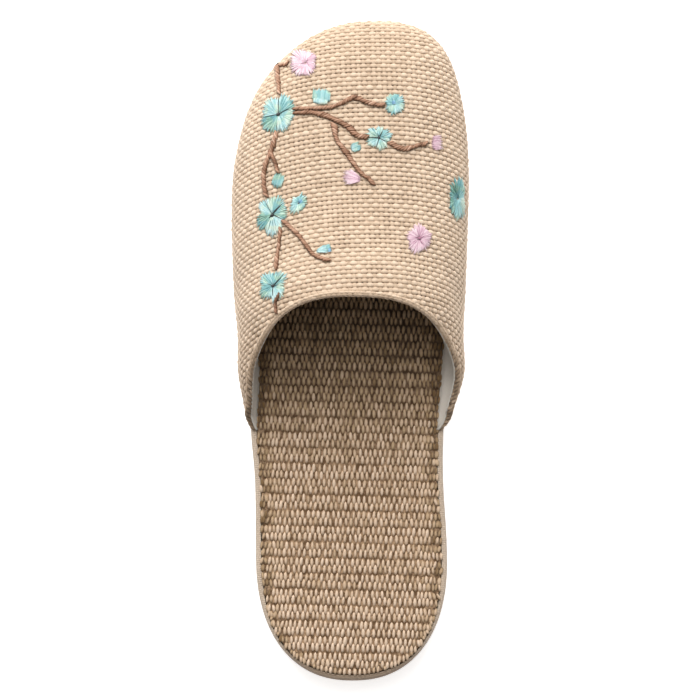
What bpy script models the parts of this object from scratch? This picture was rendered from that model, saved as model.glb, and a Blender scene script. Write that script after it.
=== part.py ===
"""Left house slipper, open at the heel: outsole, foam midsole, its cloth cover, woven insole, linen upper.

Metres, +Z up. The toe points along +Y, the inner (big toe) side lies towards +X, and the slipper
stands on z = 0 with its origin under the middle of its outer box. Every piece is worked out from
one sole outline: a piece's edge is that outline moved out or in, and its heights follow the same
toe spring, arch and heel wedge, as a maker grades all the patterns from one last.
"""

import math
from collections import namedtuple

import bmesh
import bpy

MM = 0.001

# Driving sizes
SHOE_LENGTH = 260.0 * MM  # over the upper's toe
TOE_OVERHANG = 3.4 * MM  # how far the upper's toe bulges past the sole
BALL_WIDTH = 85.2 * MM  # of the sole
INSTEP_HEIGHT = 63.0 * MM  # top of the upper at the collar, above the floor
TOE_SPRING = 6.5 * MM  # lift of the sole's tip
HEEL_BEVEL = 1.2 * MM  # lift of the outsole at the very back
ARCH_HOLLOW = 1.6 * MM  # lift of the outsole under the waist
OUTSOLE_THICKNESS = 4.2 * MM
FOREFOOT_FOAM = 7.2 * MM  # midsole thickness under the ball
HEEL_WEDGE = 4.0 * MM  # extra midsole thickness under the heel
COVER_THICKNESS = 1.1 * MM
INSOLE_THICKNESS = 2.4 * MM
WALL = 2.4 * MM  # linen, wadding and lining together
COVER_SWELL = 0.35 * MM  # the wrapped foam bulges past the sole's outline
GAP = 0.3 * MM  # between curved pieces that touch
RIM_WIDTH = 2.7 * MM  # flat top of the midsole cover that carries the upper
INSOLE_INSET = RIM_WIDTH + GAP

# Where the sole's height changes, as shares of its length from the heel
BEVEL_END = 0.07
ARCH_START, ARCH_END = 0.32, 0.56
WEDGE_START, WEDGE_END = 0.30, 0.66  # the wedge is whole behind the first and gone past the second
SPRING_START = 0.82

SOLE_LENGTH = SHOE_LENGTH - TOE_OVERHANG - COVER_SWELL
HEEL_Y = COVER_SWELL - SHOE_LENGTH / 2

# Rounded ends of the outline: superellipses of this length and power
HEEL_ROUND, HEEL_POWER = 50.0 * MM, 2.3
TOE_ROUND, TOE_POWER = 66.0 * MM, 2.55

# The outline between its rounded ends. along: share of the sole's length from the heel.
# centre: middle line, towards the inner side. width: share of the ball width.
# outer, inner: how far the upper's wall bulges past the sole on that side.
Station = namedtuple("Station", "along centre width outer inner")
STATIONS = (
    Station(0.00, 1.0 * MM, 0.890, 0.0 * MM, 0.0 * MM),
    Station(0.21, 0.5 * MM, 0.880, 0.0 * MM, 0.0 * MM),
    Station(0.31, -0.4 * MM, 0.868, 0.4 * MM, 0.2 * MM),
    Station(0.39, -1.1 * MM, 0.890, 1.5 * MM, 2.2 * MM),
    Station(0.47, 0.1 * MM, 0.898, 6.0 * MM, 6.7 * MM),
    Station(0.53, 0.0 * MM, 0.930, 4.8 * MM, 5.2 * MM),
    Station(0.60, -0.2 * MM, 0.975, 4.3 * MM, 4.4 * MM),
    Station(0.74, 0.0 * MM, 1.000, 4.3 * MM, 4.4 * MM),
    Station(0.83, 1.3 * MM, 0.990, 4.2 * MM, 4.2 * MM),
    Station(0.91, 3.8 * MM, 0.980, 4.0 * MM, 4.0 * MM),
    Station(1.00, 10.2 * MM, 0.985, TOE_OVERHANG, TOE_OVERHANG),
)

# Ridge line of the upper, before the toe dome rounds it off. height: share of the instep height.
Crest = namedtuple("Crest", "along height")
CRESTS = (
    Crest(0.38, 1.060),
    Crest(0.50, 1.045),
    Crest(0.581, 1.000),
    Crest(0.66, 0.900),
    Crest(0.74, 0.820),
    Crest(0.83, 0.765),
    Crest(0.92, 0.735),
    Crest(1.00, 0.715),
)

# Upper: where it starts and ends, and the shape of its arch
CORNER_ALONG = 0.386  # both ends of the collar, on the sole
THROAT_ALONG = 0.581  # middle of the collar, on the ridge
DOME_ALONG = 0.741  # where the ridge ends and the toe dome starts
ARCH_POWER = 2.3  # superellipse of the cross-sections
BULGE_RISE = 9.0 * MM  # widest level of the wall above its foot
CORNER_BULGE_RISE = 5.0 * MM  # the same at the collar's ends
BULGE_RUN = 0.12  # share of the length over which it grows from the one to the other
EVEN_TOE = 0.9  # past this share of the length both sides overhang by the toe's amount
WALL_POWER = 2.2  # how late the wall turns under towards its foot
COLLAR_START = 0.12  # share of the collar's run that is done at the widest level
OUTER_COLLAR_POWER = 2.45  # shape of the collar's U from above, outer half
INNER_COLLAR_POWER = 2.75
OUTER_COLLAR_LEAN = 0.07  # how far the collar leans in above the widest level, share of the reach
INNER_COLLAR_LEAN = 0.02
LEAN_POWER = 6  # how soon above the widest level it has leaned in
COLLAR_DIP = 36.0 * MM  # how far the arch sinks towards the collar's ends
UPPER_FOOT = 0.15 * MM  # foot of the wall, in from the sole's edge

# Tread: curved grooves across the ball and the heel
GROOVE_WIDTH = 3.2 * MM
GROOVE_DEPTH = 1.6 * MM
GROOVE_BOW = 5.0 * MM  # how far a groove's ends sweep back
Tread = namedtuple("Tread", "first pitch count")
TREADS = (
    Tread(-109.0 * MM, 10.5 * MM, 2),
    Tread(-67.0 * MM, 10.5 * MM, 2),
    Tread(20.0 * MM, 10.5 * MM, 3),
    Tread(64.0 * MM, 10.5 * MM, 5),
)

# Mesh fineness
RING_POINTS = 112  # around a sole piece, an even number
SIDE_COLUMNS = 22  # of the upper, each side of the ridge
TOE_COLUMNS = 30  # of the upper, around the toe dome
WALL_ROWS = 4
ARCH_ROWS = 13
LIP_BULGE = 0.4  # roundness of the collar's edge, share of the wall

# name: colour, roughness
FINISHES = {
    "outsole": ((0.42, 0.33, 0.25), 0.75),
    "midsole": ((0.66, 0.60, 0.52), 0.85),
    "midsole_cover": ((0.49, 0.37, 0.28), 0.90),
    "insole": ((0.41, 0.28, 0.19), 0.95),
    "upper": ((0.70, 0.53, 0.37), 0.95),
}


def blend(rows, column, along):
    """Smooth curve through one column of a table, at a share of the length (cubic Hermite)."""
    knots = [(row.along, getattr(row, column)) for row in rows]
    along = min(max(along, knots[0][0]), knots[-1][0])
    last = len(knots) - 1
    i = max(k for k in range(last) if knots[k][0] <= along)
    slopes = []
    for k in (i, i + 1):
        before, after = knots[max(k - 1, 0)], knots[min(k + 1, last)]
        slopes.append((after[1] - before[1]) / (after[0] - before[0]))
    span = knots[i + 1][0] - knots[i][0]
    t = (along - knots[i][0]) / span
    rise = knots[i + 1][1] - knots[i][1]
    turn = span * (slopes[0] * (1 - t) - slopes[1] * t) - rise * (1 - 2 * t)
    return knots[i][1] + rise * t + t * (1 - t) * turn


def ease(t):
    """0 to 1 with level ends."""
    t = min(max(t, 0.0), 1.0)
    return t * t * (3 - 2 * t)


def superellipse(t, power):
    """Height of a superelliptic quarter, 1 at t = 0 and 0 at t = 1."""
    return max(1 - t**power, 0.0) ** (1 / power)


# Sole outline


def along_of(phi):
    """Share of the length at an angle: 0 at the heel, pi at the toe, 2 pi back at the heel."""
    return (1 - math.cos(phi)) / 2


def angle_of(along):
    return math.acos(1 - 2 * along)


def edge(phi):
    """The sole's edge: up the outer side from the heel to the toe, and back down the inner side."""
    along = along_of(phi)
    from_heel = along * SOLE_LENGTH
    from_toe = SOLE_LENGTH - from_heel
    half = blend(STATIONS, "width", along) * BALL_WIDTH / 2
    half *= superellipse(max(1 - from_heel / HEEL_ROUND, 0.0), HEEL_POWER)
    half *= superellipse(max(1 - from_toe / TOE_ROUND, 0.0), TOE_POWER)
    side = -1 if math.sin(phi) > 0 else 1
    return blend(STATIONS, "centre", along) + side * half, HEEL_Y + from_heel


def moved_edge(phi, out):
    """The sole's edge moved outwards along its normal."""
    step = 0.02
    x0, y0 = edge(phi - step)
    x1, y1 = edge(phi + step)
    x, y = edge(phi)
    length = math.hypot(x1 - x0, y1 - y0)
    return x - out * (y1 - y0) / length, y + out * (x1 - x0) / length


# Sole heights


def share(y):
    return (y - HEEL_Y) / SOLE_LENGTH


def toe_lift(y):
    return TOE_SPRING * max((share(y) - SPRING_START) / (1 - SPRING_START), 0.0) ** 2


def ground(y):
    """Underside of the outsole: flat under the heel and the ball."""
    through_arch = (share(y) - ARCH_START) / (ARCH_END - ARCH_START)
    hollow = math.sin(math.pi * min(max(through_arch, 0.0), 1.0)) ** 2
    bevel = max(1 - share(y) / BEVEL_END, 0.0) ** 2
    return toe_lift(y) + ARCH_HOLLOW * hollow + HEEL_BEVEL * bevel


def foam_bottom(y):
    return ground(y) + OUTSOLE_THICKNESS + GAP


def foam_top(y):
    wedge = HEEL_WEDGE * ease((WEDGE_END - share(y)) / (WEDGE_END - WEDGE_START))
    return toe_lift(y) + OUTSOLE_THICKNESS + GAP + FOREFOOT_FOAM + wedge


def rim(y):
    """Top of the midsole cover, which carries the upper."""
    return foam_top(y) + GAP + COVER_THICKNESS


def insole_bottom(y):
    return foam_top(y) + GAP


# Upper


def across(phi, outer, inner):
    """A value of the outer side eased into that of the inner side over the toe dome."""
    dome = angle_of(DOME_ALONG)
    return outer + (inner - outer) * ease((phi - dome) / (2 * math.pi - 2 * dome))


def shell_point(phi, height, inset):
    """A point of the upper's shell. height is 0 at its foot, 1 at the widest level, 2 on the ridge.

    inset moves the shell inwards, for its lining side.
    """
    along = along_of(phi)
    overhang = blend(STATIONS, "outer" if math.sin(phi) > 0 else "inner", along)
    overhang += (TOE_OVERHANG - overhang) * ease((along - EVEN_TOE) / (1 - EVEN_TOE))
    foot = rim(edge(phi)[1]) + GAP
    from_corner = ease((along - CORNER_ALONG) / BULGE_RUN)
    widest = foot + CORNER_BULGE_RISE + (BULGE_RISE - CORNER_BULGE_RISE) * from_corner
    if height <= 1:
        out = -UPPER_FOOT + (overhang + UPPER_FOOT) * (1 - (1 - height) ** WALL_POWER)
        x, y = moved_edge(phi, out - inset)
        return x, y, rim(y) + GAP + (widest - foot) * height
    wide_x, wide_y = moved_edge(phi, overhang - inset)
    dome_y = HEEL_Y + DOME_ALONG * SOLE_LENGTH
    spine_y = min(edge(phi)[1], dome_y)
    spine_x = blend(STATIONS, "centre", share(spine_y))
    reach = 2 - height
    x = spine_x + (wide_x - spine_x) * reach
    y = spine_y + (wide_y - spine_y) * reach
    behind = max(THROAT_ALONG - share(y), 0.0) / (THROAT_ALONG - CORNER_ALONG)
    crest = blend(CRESTS, "height", share(y)) * INSTEP_HEIGHT - COLLAR_DIP * behind**2 - inset
    return x, y, widest + (crest - widest) * superellipse(reach, ARCH_POWER)


def shell_columns():
    """(foot angle, ridge angle) of each column, from the outer end of the collar to the inner one."""
    corner, throat, dome = (angle_of(a) for a in (CORNER_ALONG, THROAT_ALONG, DOME_ALONG))
    outer = []
    for i in range(SIDE_COLUMNS):
        t = i / SIDE_COLUMNS
        outer.append((corner + (dome - corner) * t, throat + (dome - throat) * t))
    toe = []
    for i in range(TOE_COLUMNS + 1):
        phi = dome + (2 * math.pi - 2 * dome) * i / TOE_COLUMNS
        toe.append((phi, phi))
    inner = [(2 * math.pi - foot, 2 * math.pi - ridge) for foot, ridge in reversed(outer)]
    return outer + toe + inner


def shell_column(foot, ridge, inset):
    """Points of one column, from the foot up to the ridge. It leans towards the toe as it climbs."""
    power = across(foot, OUTER_COLLAR_POWER, INNER_COLLAR_POWER)
    lean_in = across(foot, OUTER_COLLAR_LEAN, INNER_COLLAR_LEAN)
    points = []
    for row in range(WALL_ROWS):
        height = row / WALL_ROWS
        phi = foot + (ridge - foot) * COLLAR_START * height
        points.append(shell_point(phi, height, inset))
    for row in range(ARCH_ROWS + 1):
        angle = math.pi / 2 * row / ARCH_ROWS
        run = math.sin(angle) ** (2 / power)
        reach = math.cos(angle) ** (2 / power) if row < ARCH_ROWS else 0.0
        reach *= 1 - lean_in * (1 - (1 - run) ** LEAN_POWER)
        phi = foot + (ridge - foot) * (COLLAR_START + (1 - COLLAR_START) * run)
        points.append(shell_point(phi, 2 - reach, inset))
    return points


# Mesh building


def add_object(name, bm):
    """Finish a mesh as one object with its own material."""
    bmesh.ops.remove_doubles(bm, verts=bm.verts, dist=0.000001)
    bmesh.ops.recalc_face_normals(bm, faces=bm.faces)
    mesh = bpy.data.meshes.new(name)
    bm.to_mesh(mesh)
    bm.free()
    obj = bpy.data.objects.new(name, mesh)
    bpy.context.scene.collection.objects.link(obj)
    if name in FINISHES:
        colour, roughness = FINISHES[name]
        material = bpy.data.materials.new(name)
        material.use_nodes = True
        shader = material.node_tree.nodes["Principled BSDF"]
        shader.inputs["Base Color"].default_value = (*colour, 1.0)
        shader.inputs["Roughness"].default_value = roughness
        mesh.materials.append(material)
        mesh.shade_smooth()
        mesh.set_sharp_from_angle(angle=math.radians(40))
    return obj


def add_ring(bm, out, level):
    """One closed ring: the sole's edge moved out, at the height that level gives for each y."""
    ring = []
    for i in range(RING_POINTS):
        x, y = moved_edge(2 * math.pi * i / RING_POINTS, out)
        ring.append(bm.verts.new((x, y, level(y))))
    return ring


def bridge(bm, ring, other):
    for i in range(RING_POINTS):
        j = (i + 1) % RING_POINTS
        bm.faces.new((ring[i], ring[j], other[j], other[i]))


def cap(bm, ring):
    """Close a ring with rungs from its outer to its inner side, so that it bends with the sole."""
    middle = RING_POINTS // 2
    bm.faces.new((ring[0], ring[1], ring[-1]))
    bm.faces.new((ring[middle - 1], ring[middle], ring[middle + 1]))
    for i in range(1, middle - 1):
        bm.faces.new((ring[i], ring[i + 1], ring[-i - 1], ring[-i]))


def slab(name, profile):
    """A solid sole layer. profile: (out, level) from its underside's edge to its top's edge."""
    bm = bmesh.new()
    rings = [add_ring(bm, out, level) for out, level in profile]
    for ring, other in zip(rings, rings[1:]):
        bridge(bm, ring, other)
    cap(bm, rings[0])
    cap(bm, rings[-1])
    return add_object(name, bm)


def raised(level, by):
    return lambda y: level(y) + by


def make_outsole():
    """Rubber sheet with a rolled edge and curved tread grooves cut into its underside."""
    top = raised(ground, OUTSOLE_THICKNESS)
    profile = (
        (-1.6 * MM, ground),
        (-0.5 * MM, raised(ground, 0.5 * MM)),
        (0.0, raised(ground, 1.6 * MM)),
        (0.0, raised(top, -0.8 * MM)),
        (-0.6 * MM, top),
    )
    outsole = slab("outsole", profile)
    cut = outsole.modifiers.new("tread", "BOOLEAN")
    cut.operation = "DIFFERENCE"
    cut.object = make_grooves()


def make_grooves():
    """Cutter for the tread: bars that bow back at both ends."""
    bm = bmesh.new()
    reach, steps = 55.0 * MM, 12
    for tread in TREADS:
        for k in range(tread.count):
            middle = tread.first + tread.pitch * k
            rows = []
            for i in range(steps + 1):
                x = reach * (2 * i / steps - 1)
                y = middle - GROOVE_BOW * (x / reach) ** 2
                row = []
                for side in (-0.5, 0.5):
                    edge_y = y + side * GROOVE_WIDTH
                    row.append(bm.verts.new((x, edge_y, ground(edge_y) - 3 * GROOVE_DEPTH)))
                for side in (0.5, -0.5):
                    edge_y = y + side * GROOVE_WIDTH * 0.7
                    row.append(bm.verts.new((x, edge_y, ground(edge_y) + GROOVE_DEPTH)))
                rows.append(row)
            for row, other in zip(rows, rows[1:]):
                for a in range(4):
                    b = (a + 1) % 4
                    bm.faces.new((row[a], row[b], other[b], other[a]))
            bm.faces.new(rows[0])
            bm.faces.new(rows[-1])
    cutter = add_object("tread_cutter", bm)
    cutter.hide_render = True
    cutter.display_type = "WIRE"
    return cutter


def make_midsole():
    """Foam platform inside its cloth cover, with soft corners."""
    side = -(COVER_THICKNESS + GAP)
    soft = 0.9 * MM
    profile = (
        (side - soft, foam_bottom),
        (side, raised(foam_bottom, soft)),
        (side, raised(foam_top, -soft)),
        (side - soft, foam_top),
    )
    slab("midsole", profile)


def make_midsole_cover():
    """Cloth strip around the midsole's side, turned in over its top edge as a flat rim."""
    roll = 0.5 * MM
    top = raised(foam_top, GAP)

    def middle(y):
        return (foam_bottom(y) + rim(y)) / 2

    profile = (
        (-COVER_THICKNESS, foam_bottom),
        (-0.2 * MM, foam_bottom),
        (0.1 * MM, raised(foam_bottom, roll)),
        (COVER_SWELL, middle),
        (0.1 * MM, raised(rim, -roll)),
        (-0.15 * MM, raised(rim, -0.12 * MM)),
        (-roll, rim),
        (-RIM_WIDTH, rim),
        (-RIM_WIDTH, top),
        (-COVER_THICKNESS, top),
        (COVER_SWELL - COVER_THICKNESS, middle),
    )
    bm = bmesh.new()
    rings = [add_ring(bm, out, level) for out, level in profile]
    for ring, other in zip(rings, rings[1:] + rings[:1]):
        bridge(bm, ring, other)
    add_object("midsole_cover", bm)


def make_insole():
    """Woven sock that lies inside the cover's rim and stands a little above it."""
    top = raised(insole_bottom, INSOLE_THICKNESS)
    profile = (
        (-INSOLE_INSET, insole_bottom),
        (-INSOLE_INSET, raised(top, -0.9 * MM)),
        (-INSOLE_INSET - 0.3 * MM, raised(top, -0.3 * MM)),
        (-INSOLE_INSET - 1.1 * MM, top),
    )
    slab("insole", profile)


def make_upper():
    """One hollow shell: outside, lining side, rounded collar edge and flat foot."""
    columns = shell_columns()
    bm = bmesh.new()
    outside = [[bm.verts.new(p) for p in shell_column(*column, 0.0)] for column in columns]
    inside = [[bm.verts.new(p) for p in shell_column(*column, WALL)] for column in columns]

    def lip(end, next_in):
        """Middle of the collar's edge, pushed out from the shell."""
        row = []
        for out, lining, behind in zip(outside[end], inside[end], outside[next_in]):
            away = (out.co - behind.co).normalized() * WALL * LIP_BULGE
            row.append(bm.verts.new((out.co + lining.co) / 2 + away))
        return row

    around = outside + [lip(-1, -2)] + inside[::-1] + [lip(0, 1)]
    rows = WALL_ROWS + ARCH_ROWS + 1
    for i, column in enumerate(around):
        other = around[(i + 1) % len(around)]
        for k in range(rows - 1):
            quad = (column[k], other[k], other[k + 1], column[k + 1])
            bm.faces.new(quad)
    feet = [(out[0], lining[0]) for out, lining in zip(outside, inside)]
    for (out, lining), (other_out, other_lining) in zip(feet, feet[1:]):
        bm.faces.new((out, other_out, other_lining, lining))
    outer_lip, inner_lip = around[-1], around[len(outside)]
    bm.faces.new((outside[0][0], inside[0][0], outer_lip[0]))
    bm.faces.new((outside[-1][0], inside[-1][0], inner_lip[0]))
    add_object("upper", bm)


def main():
    for obj in list(bpy.data.objects):
        bpy.data.objects.remove(obj)
    make_outsole()
    make_midsole()
    make_midsole_cover()
    make_insole()
    make_upper()


main()
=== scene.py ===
# %% [markdown]
# # A linen house slipper, made in cells
#
# The slipper is an open-heeled left shoe: a rubber outsole, a foam platform wrapped in a cloth band,
# a woven insole, and a linen upper with a plum-blossom branch embroidered on it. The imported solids
# are loaded as a fixed frame, and every visible piece is built in the same place and in metres.

# %% Load the frame
import math

import bpy
import numpy as np
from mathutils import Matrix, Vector
from mathutils.bvhtree import BVHTree
from mathutils.kdtree import KDTree


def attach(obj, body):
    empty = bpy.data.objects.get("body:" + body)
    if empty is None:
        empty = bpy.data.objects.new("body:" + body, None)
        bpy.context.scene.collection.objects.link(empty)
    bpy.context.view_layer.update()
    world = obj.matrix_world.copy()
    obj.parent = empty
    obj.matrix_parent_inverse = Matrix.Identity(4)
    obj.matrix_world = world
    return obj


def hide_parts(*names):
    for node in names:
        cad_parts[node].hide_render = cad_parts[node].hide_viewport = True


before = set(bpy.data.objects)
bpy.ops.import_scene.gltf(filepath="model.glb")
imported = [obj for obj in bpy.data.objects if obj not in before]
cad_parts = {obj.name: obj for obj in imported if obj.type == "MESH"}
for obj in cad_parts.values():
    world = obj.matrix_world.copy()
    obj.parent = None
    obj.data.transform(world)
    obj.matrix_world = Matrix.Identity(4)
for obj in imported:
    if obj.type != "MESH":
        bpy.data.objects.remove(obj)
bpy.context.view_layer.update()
MM = 0.001
rng = np.random.default_rng(7)


# %% [markdown]
# ## Helpers
#
# Operators act on whatever is selected, so everything is deselected before each one. Pieces that
# repeat thousands of times, such as yarns and stitches, are built from arrays of points instead,
# because modelling each by hand would take hours.

# %% Points, faces and search trees


def unit(vectors):
    """Vectors along the last axis, brought to length 1."""
    return vectors / (np.linalg.norm(vectors, axis=-1, keepdims=True) + 1e-12)


def without(vectors, ways):
    """Vectors less what they have along unit vectors."""
    return vectors - ways * (vectors * ways).sum(axis=-1, keepdims=True)


def run_along(line):
    """Distance along a line at each of its points."""
    return np.concatenate([[0], np.cumsum(np.linalg.norm(np.diff(line, axis=0), axis=1))])


def tree_of(points):
    """A search tree that finds the nearest of some points."""
    tree = KDTree(len(points))
    for i, point in enumerate(points):
        tree.insert(point, i)
    tree.balance()
    return tree


def grid_faces(columns, rows, round_columns=False, round_rows=False):
    """Quads between the points of a grid, column by column, closed on itself where it goes round."""
    faces = []
    for i in range(columns - 1 + round_columns):
        here, there = i * rows, (i + 1) % columns * rows
        for k in range(rows - 1 + round_rows):
            after = (k + 1) % rows
            faces.append((here + k, here + after, there + after, there + k))
    return faces


# %% Select, make and finish objects


def only(obj):
    """Select one object and nothing else."""
    bpy.ops.object.select_all(action="DESELECT")
    obj.select_set(True)
    bpy.context.view_layer.objects.active = obj
    return obj


def weld(obj, reach=0.01 * MM, slivers=False):
    """Merge doubled points and turn all faces the same way."""
    only(obj)
    bpy.ops.object.mode_set(mode="EDIT")
    bpy.ops.mesh.select_all(action="SELECT")
    bpy.ops.mesh.remove_doubles(threshold=reach)
    if slivers:
        bpy.ops.mesh.dissolve_degenerate(threshold=0.01 * MM)
    bpy.ops.mesh.select_all(action="SELECT")
    bpy.ops.mesh.normals_make_consistent(inside=False)
    bpy.ops.object.mode_set(mode="OBJECT")


def mesh_object(name, points, faces):
    mesh = bpy.data.meshes.new(name)
    mesh.from_pydata([tuple(p) for p in points], [], faces)
    mesh.update()
    obj = bpy.data.objects.new(name, mesh)
    bpy.context.scene.collection.objects.link(obj)
    return obj


def finish_piece(obj, finish):
    """Give a piece its material and its body."""
    obj.data.materials.append(finish.material)
    only(obj)
    bpy.ops.object.shade_smooth()
    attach(obj, "root")
    obj.data.calc_loop_triangles()
    print(obj.name, len(obj.data.loop_triangles), "triangles")
    return obj


# %% [markdown]
# ## The outline and the heights
#
# A maker grades every pattern of a shoe from one last. Here one sole outline and a few height
# curves do that, with the same sizes as the solids, so each cloth piece can be laid exactly on
# the form that it belongs to.

# %% Driving sizes
TOE_OVERHANG = 3.4 * MM
BALL_WIDTH = 85.2 * MM
INSTEP_HEIGHT = 63.0 * MM
TOE_SPRING = 6.5 * MM
HEEL_BEVEL = 1.2 * MM
ARCH_HOLLOW = 1.6 * MM
OUTSOLE_THICKNESS = 4.2 * MM
FOREFOOT_FOAM = 7.2 * MM
HEEL_WEDGE = 4.0 * MM
COVER_THICKNESS = 1.1 * MM
INSOLE_THICKNESS = 2.4 * MM
WALL = 2.4 * MM
COVER_SWELL = 0.35 * MM
GAP = 0.3 * MM
RIM_WIDTH = 2.7 * MM
INSOLE_INSET = RIM_WIDTH + GAP

BEVEL_END = 0.07
ARCH_START, ARCH_END = 0.32, 0.56
WEDGE_START, WEDGE_END = 0.30, 0.66
SPRING_START = 0.82
SOLE_LENGTH = 256.25 * MM
HEEL_Y = -129.65 * MM
HEEL_ROUND, HEEL_POWER = 50.0 * MM, 2.3
TOE_ROUND, TOE_POWER = 66.0 * MM, 2.55

# share of the length, middle line, share of the ball width, overhang of the outer and inner wall
STATIONS = np.array((
    (0.00, 1.0, 0.890, 0.0, 0.0),
    (0.21, 0.5, 0.880, 0.0, 0.0),
    (0.31, -0.4, 0.868, 0.4, 0.2),
    (0.39, -1.1, 0.890, 1.5, 2.2),
    (0.47, 0.1, 0.898, 6.0, 6.7),
    (0.53, 0.0, 0.930, 4.8, 5.2),
    (0.60, -0.2, 0.975, 4.3, 4.4),
    (0.74, 0.0, 1.000, 4.3, 4.4),
    (0.83, 1.3, 0.990, 4.2, 4.2),
    (0.91, 3.8, 0.980, 4.0, 4.0),
    (1.00, 10.2, 0.985, 3.4, 3.4),
))
CENTRE, WIDTH, OUTER, INNER = 1, 2, 3, 4
# share of the length, share of the instep height
CRESTS = np.array((
    (0.38, 1.060),
    (0.50, 1.045),
    (0.581, 1.000),
    (0.66, 0.900),
    (0.74, 0.820),
    (0.83, 0.765),
    (0.92, 0.735),
    (1.00, 0.715),
))

# %% Curves of the last
CORNER_ALONG, THROAT_ALONG, DOME_ALONG = 0.386, 0.581, 0.741
ARCH_POWER = 2.3
BULGE_RISE, CORNER_BULGE_RISE = 9.0 * MM, 5.0 * MM
BULGE_RUN = 0.12
EVEN_TOE = 0.9
WALL_POWER = 2.2
COLLAR_START = 0.12
OUTER_COLLAR_POWER, INNER_COLLAR_POWER = 2.45, 2.75
OUTER_COLLAR_LEAN, INNER_COLLAR_LEAN = 0.07, 0.02
LEAN_POWER = 6
COLLAR_DIP = 36.0 * MM
UPPER_FOOT = 0.15 * MM


def blend(rows, column, along):
    """Smooth curve through one column of a table, at a share of the length (cubic Hermite)."""
    knots = rows[:, (0, column)]
    along = min(max(along, knots[0][0]), knots[-1][0])
    last = len(knots) - 1
    i = max(k for k in range(last) if knots[k][0] <= along)
    slopes = []
    for k in (i, i + 1):
        before, after = knots[max(k - 1, 0)], knots[min(k + 1, last)]
        slopes.append((after[1] - before[1]) / (after[0] - before[0]))
    span = knots[i + 1][0] - knots[i][0]
    t = (along - knots[i][0]) / span
    rise = knots[i + 1][1] - knots[i][1]
    turn = span * (slopes[0] * (1 - t) - slopes[1] * t) - rise * (1 - 2 * t)
    return float(knots[i][1] + rise * t + t * (1 - t) * turn)


def ease(t):
    """0 to 1 with level ends."""
    t = min(max(t, 0.0), 1.0)
    return t * t * (3 - 2 * t)


def superellipse(t, power):
    return max(1 - t**power, 0.0) ** (1 / power)


def along_of(phi):
    """Share of the length at an angle: 0 at the heel, pi at the toe, 2 pi back at the heel."""
    return (1 - math.cos(phi)) / 2


def angle_of(along):
    return math.acos(1 - 2 * along)


def share(y):
    return (y - HEEL_Y) / SOLE_LENGTH


def edge(phi):
    """The sole's edge: up the outer side from the heel to the toe, and back down the inner side."""
    along = along_of(phi)
    from_heel = along * SOLE_LENGTH
    from_toe = SOLE_LENGTH - from_heel
    half = blend(STATIONS, WIDTH, along) * BALL_WIDTH / 2
    half *= superellipse(max(1 - from_heel / HEEL_ROUND, 0.0), HEEL_POWER)
    half *= superellipse(max(1 - from_toe / TOE_ROUND, 0.0), TOE_POWER)
    side = -1 if math.sin(phi) > 0 else 1
    return blend(STATIONS, CENTRE, along) * MM + side * half, HEEL_Y + from_heel


def moved_edge(phi, out):
    """The sole's edge moved outwards along its normal."""
    step = 0.02
    x0, y0 = edge(phi - step)
    x1, y1 = edge(phi + step)
    x, y = edge(phi)
    length = math.hypot(x1 - x0, y1 - y0)
    return x - out * (y1 - y0) / length, y + out * (x1 - x0) / length


def toe_lift(y):
    return TOE_SPRING * max((share(y) - SPRING_START) / (1 - SPRING_START), 0.0) ** 2


def ground(y):
    """Underside of the outsole: flat under the heel and the ball."""
    through_arch = (share(y) - ARCH_START) / (ARCH_END - ARCH_START)
    hollow = math.sin(math.pi * min(max(through_arch, 0.0), 1.0)) ** 2
    bevel = max(1 - share(y) / BEVEL_END, 0.0) ** 2
    return toe_lift(y) + ARCH_HOLLOW * hollow + HEEL_BEVEL * bevel


def foam_bottom(y):
    return ground(y) + OUTSOLE_THICKNESS + GAP


def foam_top(y):
    wedge = HEEL_WEDGE * ease((WEDGE_END - share(y)) / (WEDGE_END - WEDGE_START))
    return toe_lift(y) + OUTSOLE_THICKNESS + GAP + FOREFOOT_FOAM + wedge


def rim(y):
    """Top of the cloth band, which carries the upper."""
    return foam_top(y) + GAP + COVER_THICKNESS


def insole_top(y):
    return foam_top(y) + GAP + INSOLE_THICKNESS


# %% The upper's form


def across(phi, outer, inner):
    """A value of the outer side eased into that of the inner side over the toe dome."""
    dome = angle_of(DOME_ALONG)
    return outer + (inner - outer) * ease((phi - dome) / (2 * math.pi - 2 * dome))


def shell_point(phi, height, inset):
    """A point of the upper's skin. height is 0 at its foot, 1 at the widest level, 2 on the ridge."""
    along = along_of(phi)
    overhang = blend(STATIONS, OUTER if math.sin(phi) > 0 else INNER, along) * MM
    overhang += (TOE_OVERHANG - overhang) * ease((along - EVEN_TOE) / (1 - EVEN_TOE))
    foot = rim(edge(phi)[1]) + GAP
    from_corner = ease((along - CORNER_ALONG) / BULGE_RUN)
    widest = foot + CORNER_BULGE_RISE + (BULGE_RISE - CORNER_BULGE_RISE) * from_corner
    if height <= 1:
        out = -UPPER_FOOT + (overhang + UPPER_FOOT) * (1 - (1 - height) ** WALL_POWER)
        x, y = moved_edge(phi, out - inset)
        return x, y, rim(y) + GAP + (widest - foot) * height
    wide_x, wide_y = moved_edge(phi, overhang - inset)
    dome_y = HEEL_Y + DOME_ALONG * SOLE_LENGTH
    spine_y = min(edge(phi)[1], dome_y)
    spine_x = blend(STATIONS, CENTRE, share(spine_y)) * MM
    reach = 2 - height
    x = spine_x + (wide_x - spine_x) * reach
    y = spine_y + (wide_y - spine_y) * reach
    behind = max(THROAT_ALONG - share(y), 0.0) / (THROAT_ALONG - CORNER_ALONG)
    crest = blend(CRESTS, 1, share(y)) * INSTEP_HEIGHT - COLLAR_DIP * behind**2 - inset
    return x, y, widest + (crest - widest) * superellipse(reach, ARCH_POWER)


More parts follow.
